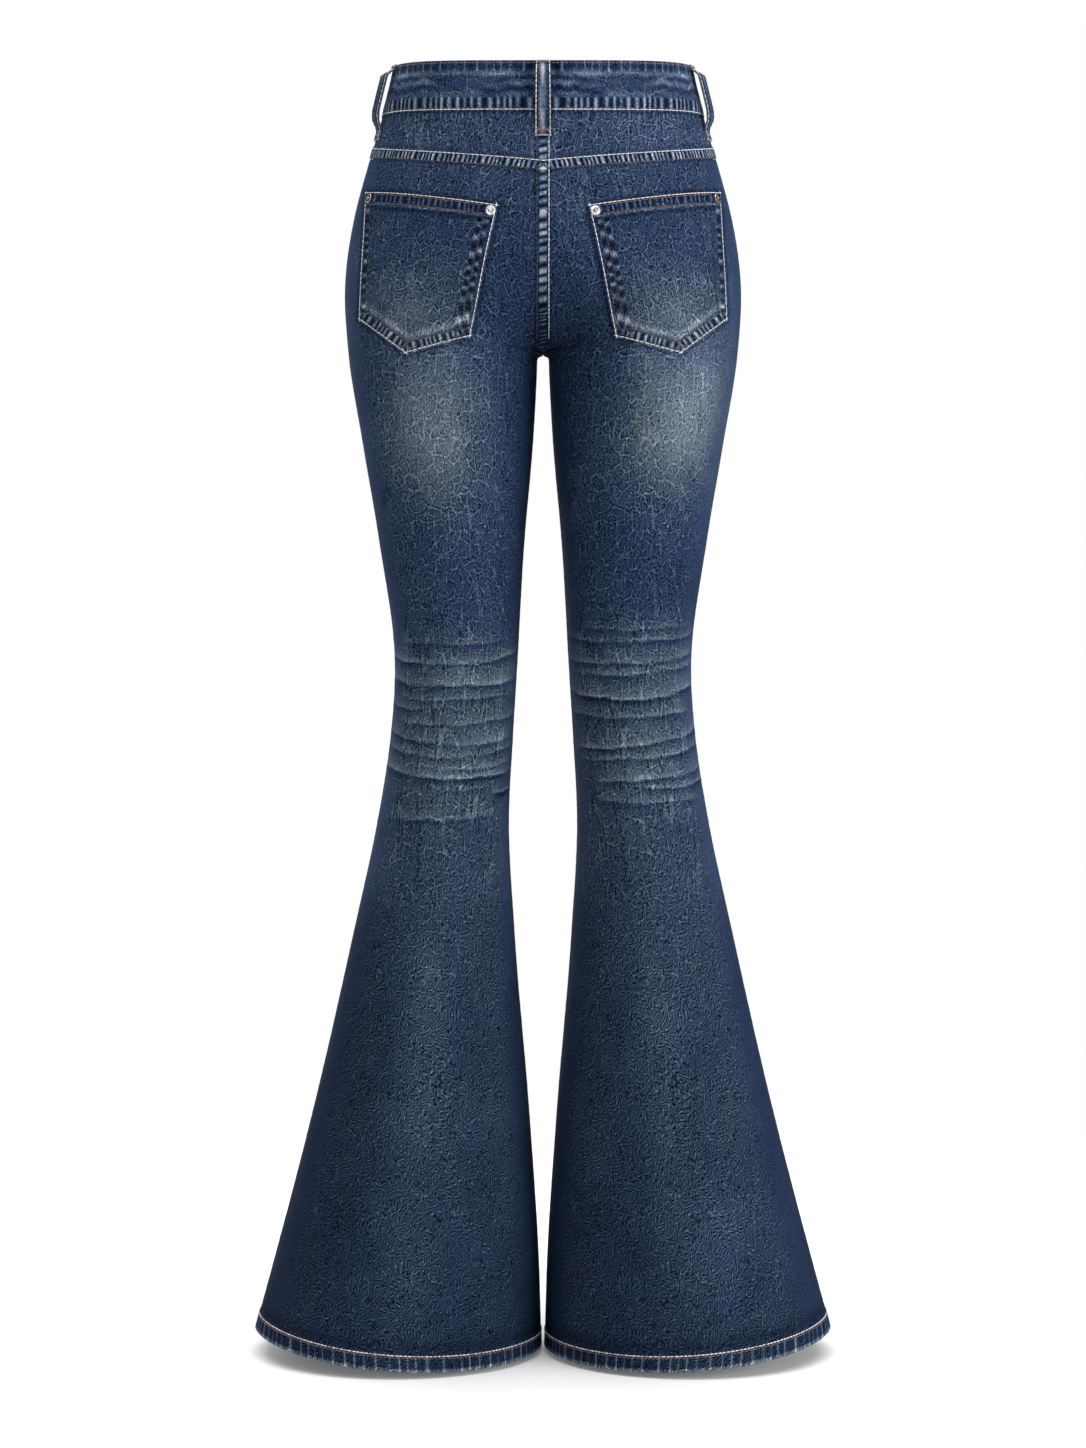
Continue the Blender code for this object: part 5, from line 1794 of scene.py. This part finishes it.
def add_rivets(half, side):
    """The two rivets at a back pocket's upper corners."""
    for corner, share, size, metal, slot in (
        ("inner", 0.045, 0.9, SILVER, "rivet_silver"), ("outer", 0.955, 0.82, COPPER, "rivet_copper"),
    ):
        phi, z = pocket_point(share, RIVET_DOWN)
        outline = eased(np.array(RIVET_OUTLINE) * (size, 1))
        name = f"rivet_{half}_{corner}"
        made = turned(name + "_metal", outline, 40, side, phi, z, POCKET_OUT + 0.3, metal)
        stand_for(made, name)


def add_button():
    """The shank button at the waist."""
    phi, z = button_place()
    made = turned("waist_button_metal", eased(BUTTON_OUTLINE, 0.3), 72, 1, phi, z, BAND_PROUD, BUTTON_METAL)
    stand_for(made, "waist_button")


# ---------------------------------------------------------------- studio


FLOOR_RADIUS = 1.3
FLOOR_BELOW_HEM = 8.0
SKY_LIGHT = 0.6

# Soft lamps, in metres and watts.
Lamp = namedtuple("Lamp", "name place_at look_at size power")
LAMPS = listed(
    Lamp,
    ("key", (-2.8, 1.7, -0.4), (0, 0, -0.6), 1.8, 84),
    ("front_fill", (1.2, -2.8, -0.2), (0, 0, -0.6), 1.8, 40),
    ("top", (0, 0.2, 4.0), (0, 0, -1), 6, 320),
)

# The camera, in metres, with its lens and film in millimetres.
CAMERA_PLACE = (0, 2.70, -0.417)
CAMERA_AIM = (0, 0, -0.5266)
LENS = 83.1
FILM_WIDTH = 36


def aim(made, place_at, look_at):
    """Puts a lamp or camera in its place and turns it to what it looks at."""
    made.location = place_at
    made.rotation_mode = "QUATERNION"
    made.rotation_quaternion = (Vector(look_at) - Vector(place_at)).to_track_quat("-Z", "Y")


def add_floor():
    """A pale floor that fades out into the white all round."""
    turns = np.linspace(0, TURN, 64, endpoint=False)
    mesh = bpy.data.meshes.new("floor")
    points = [(FLOOR_RADIUS * math.cos(turn), FLOOR_RADIUS * math.sin(turn), 0) for turn in turns]
    mesh.from_pydata(points, [], [list(range(len(points)))])
    floor = new_object("floor", mesh, FLOOR)
    floor.location.z = (HEM - FLOOR_BELOW_HEM) * MM


def add_lamp(lamp):
    data = bpy.data.lights.new(lamp.name, "AREA")
    data.shape = "RECTANGLE"
    data.size = lamp.size
    data.size_y = lamp.size
    data.energy = lamp.power
    aim(new_object(lamp.name, data), lamp.place_at, lamp.look_at)


def add_studio():
    """Soft light from all round, a little more from above and behind the camera."""
    world = bpy.data.worlds.new("studio")
    world.use_nodes = True
    bpy.context.scene.world = world
    tree = world.node_tree
    lit = tree.nodes["Background"]
    lit.inputs["Strength"].default_value = SKY_LIGHT
    seen = tree.nodes.new("ShaderNodeBackground")
    for node in (lit, seen):
        node.inputs["Color"].default_value = (1, 1, 1, 1)
    path = tree.nodes.new("ShaderNodeLightPath")
    chosen = tree.nodes.new("ShaderNodeMixShader")
    tree.links.new(path.outputs["Is Camera Ray"], chosen.inputs[0])
    tree.links.new(lit.outputs[0], chosen.inputs[1])
    tree.links.new(seen.outputs[0], chosen.inputs[2])
    tree.links.new(chosen.outputs[0], tree.nodes["World Output"].inputs[0])
    for lamp in LAMPS:
        add_lamp(lamp)
    bpy.context.scene.view_settings.view_transform = "Standard"
    bpy.context.scene.view_settings.look = "None"


def add_camera():
    """The camera behind the jeans, at the height of the thighs."""
    data = bpy.data.cameras.new("camera")
    data.lens = LENS
    data.sensor_width = FILM_WIDTH
    data.clip_end = 100
    camera = new_object("camera", data)
    aim(camera, CAMERA_PLACE, CAMERA_AIM)
    bpy.context.scene.camera = camera


# ---------------------------------------------------------------- making it all

DENIM = denim_shader()
DENIM_INSIDE = denim_inside_shader()
ZIP_TAPE_CLOTH = tape_shader()
SILVER = metal_shader("rivet_silver_metal", (200, 198, 196), (244, 242, 240), 0.34, 1.4, 0.3)
COPPER = metal_shader("rivet_copper_metal", (86, 74, 64), (192, 176, 158), 0.42, 2.0, 0.6)
BUTTON_METAL = metal_shader("button_antique_metal", (120, 116, 110), (196, 192, 186), 0.36)
ZIP_METAL = metal_shader("zip_brass", (140, 116, 70), (206, 180, 120), 0.36)
FLOOR = floor_shader()
THREADS = {
    "cream": thread_shader("thread_cream", (204, 193, 186), (250, 248, 246)),
    "rust": thread_shader("thread_rust", (70, 44, 40), (132, 90, 74)),
    "brown": thread_shader("thread_brown", (40, 28, 32), (96, 66, 60)),
    "hem": thread_shader("thread_hem", (132, 132, 142), (232, 233, 238)),
    "tack": thread_shader("thread_tack", (118, 76, 60), (184, 130, 104)),
    "teeth": ZIP_METAL,
}
STITCHES = stitch_tree()

for half, side in (("left", 1), ("right", -1)):
    add_band(half, side)
    add_yoke(half, side)
    sew_leg(back_leg(half, side))
    sew_leg(front_leg(half, side))
    sew_mouth(side)
    if side > 0:
        sew_fly()
    add_facing(half, side)
    add_pocket(half, side)
    add_rivets(half, side)
    add_loop(f"loop_side_{half}", side, math.radians(SIDE_LOOP_ANGLE), 0.0, SIDE_LOOP_TWIST)
    add_loop(f"loop_front_{half}", side, math.radians(FRONT_LOOP_ANGLE))
add_loop("loop_back", 1, BACK, LAP_RELIEF)
add_button()
add_zip_tape()
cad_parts["zip_slider"].material_slots[0].material = ZIP_METAL

SIZES = {
    "cream": Thread(3.9, 4.9, 0.82, 0.55),
    "hem": Thread(3.4, 3.9, 1.1, 0.55),
    "rust": Thread(3.4, 3.4, 0.9, 0.6),
    "brown": Thread(3.4, 3.5, 0.8, 0.55),
    "tack": Thread(0.55, 0.62, 1.9, 0.7),
    "teeth": Thread(1.5, 0.9, 3.4, 1.2),
}
for kind, lines in SEWN.items():
    lay("sewing_" + kind, lines, SIZES[kind], THREADS[kind])

add_floor()
add_studio()
add_camera()
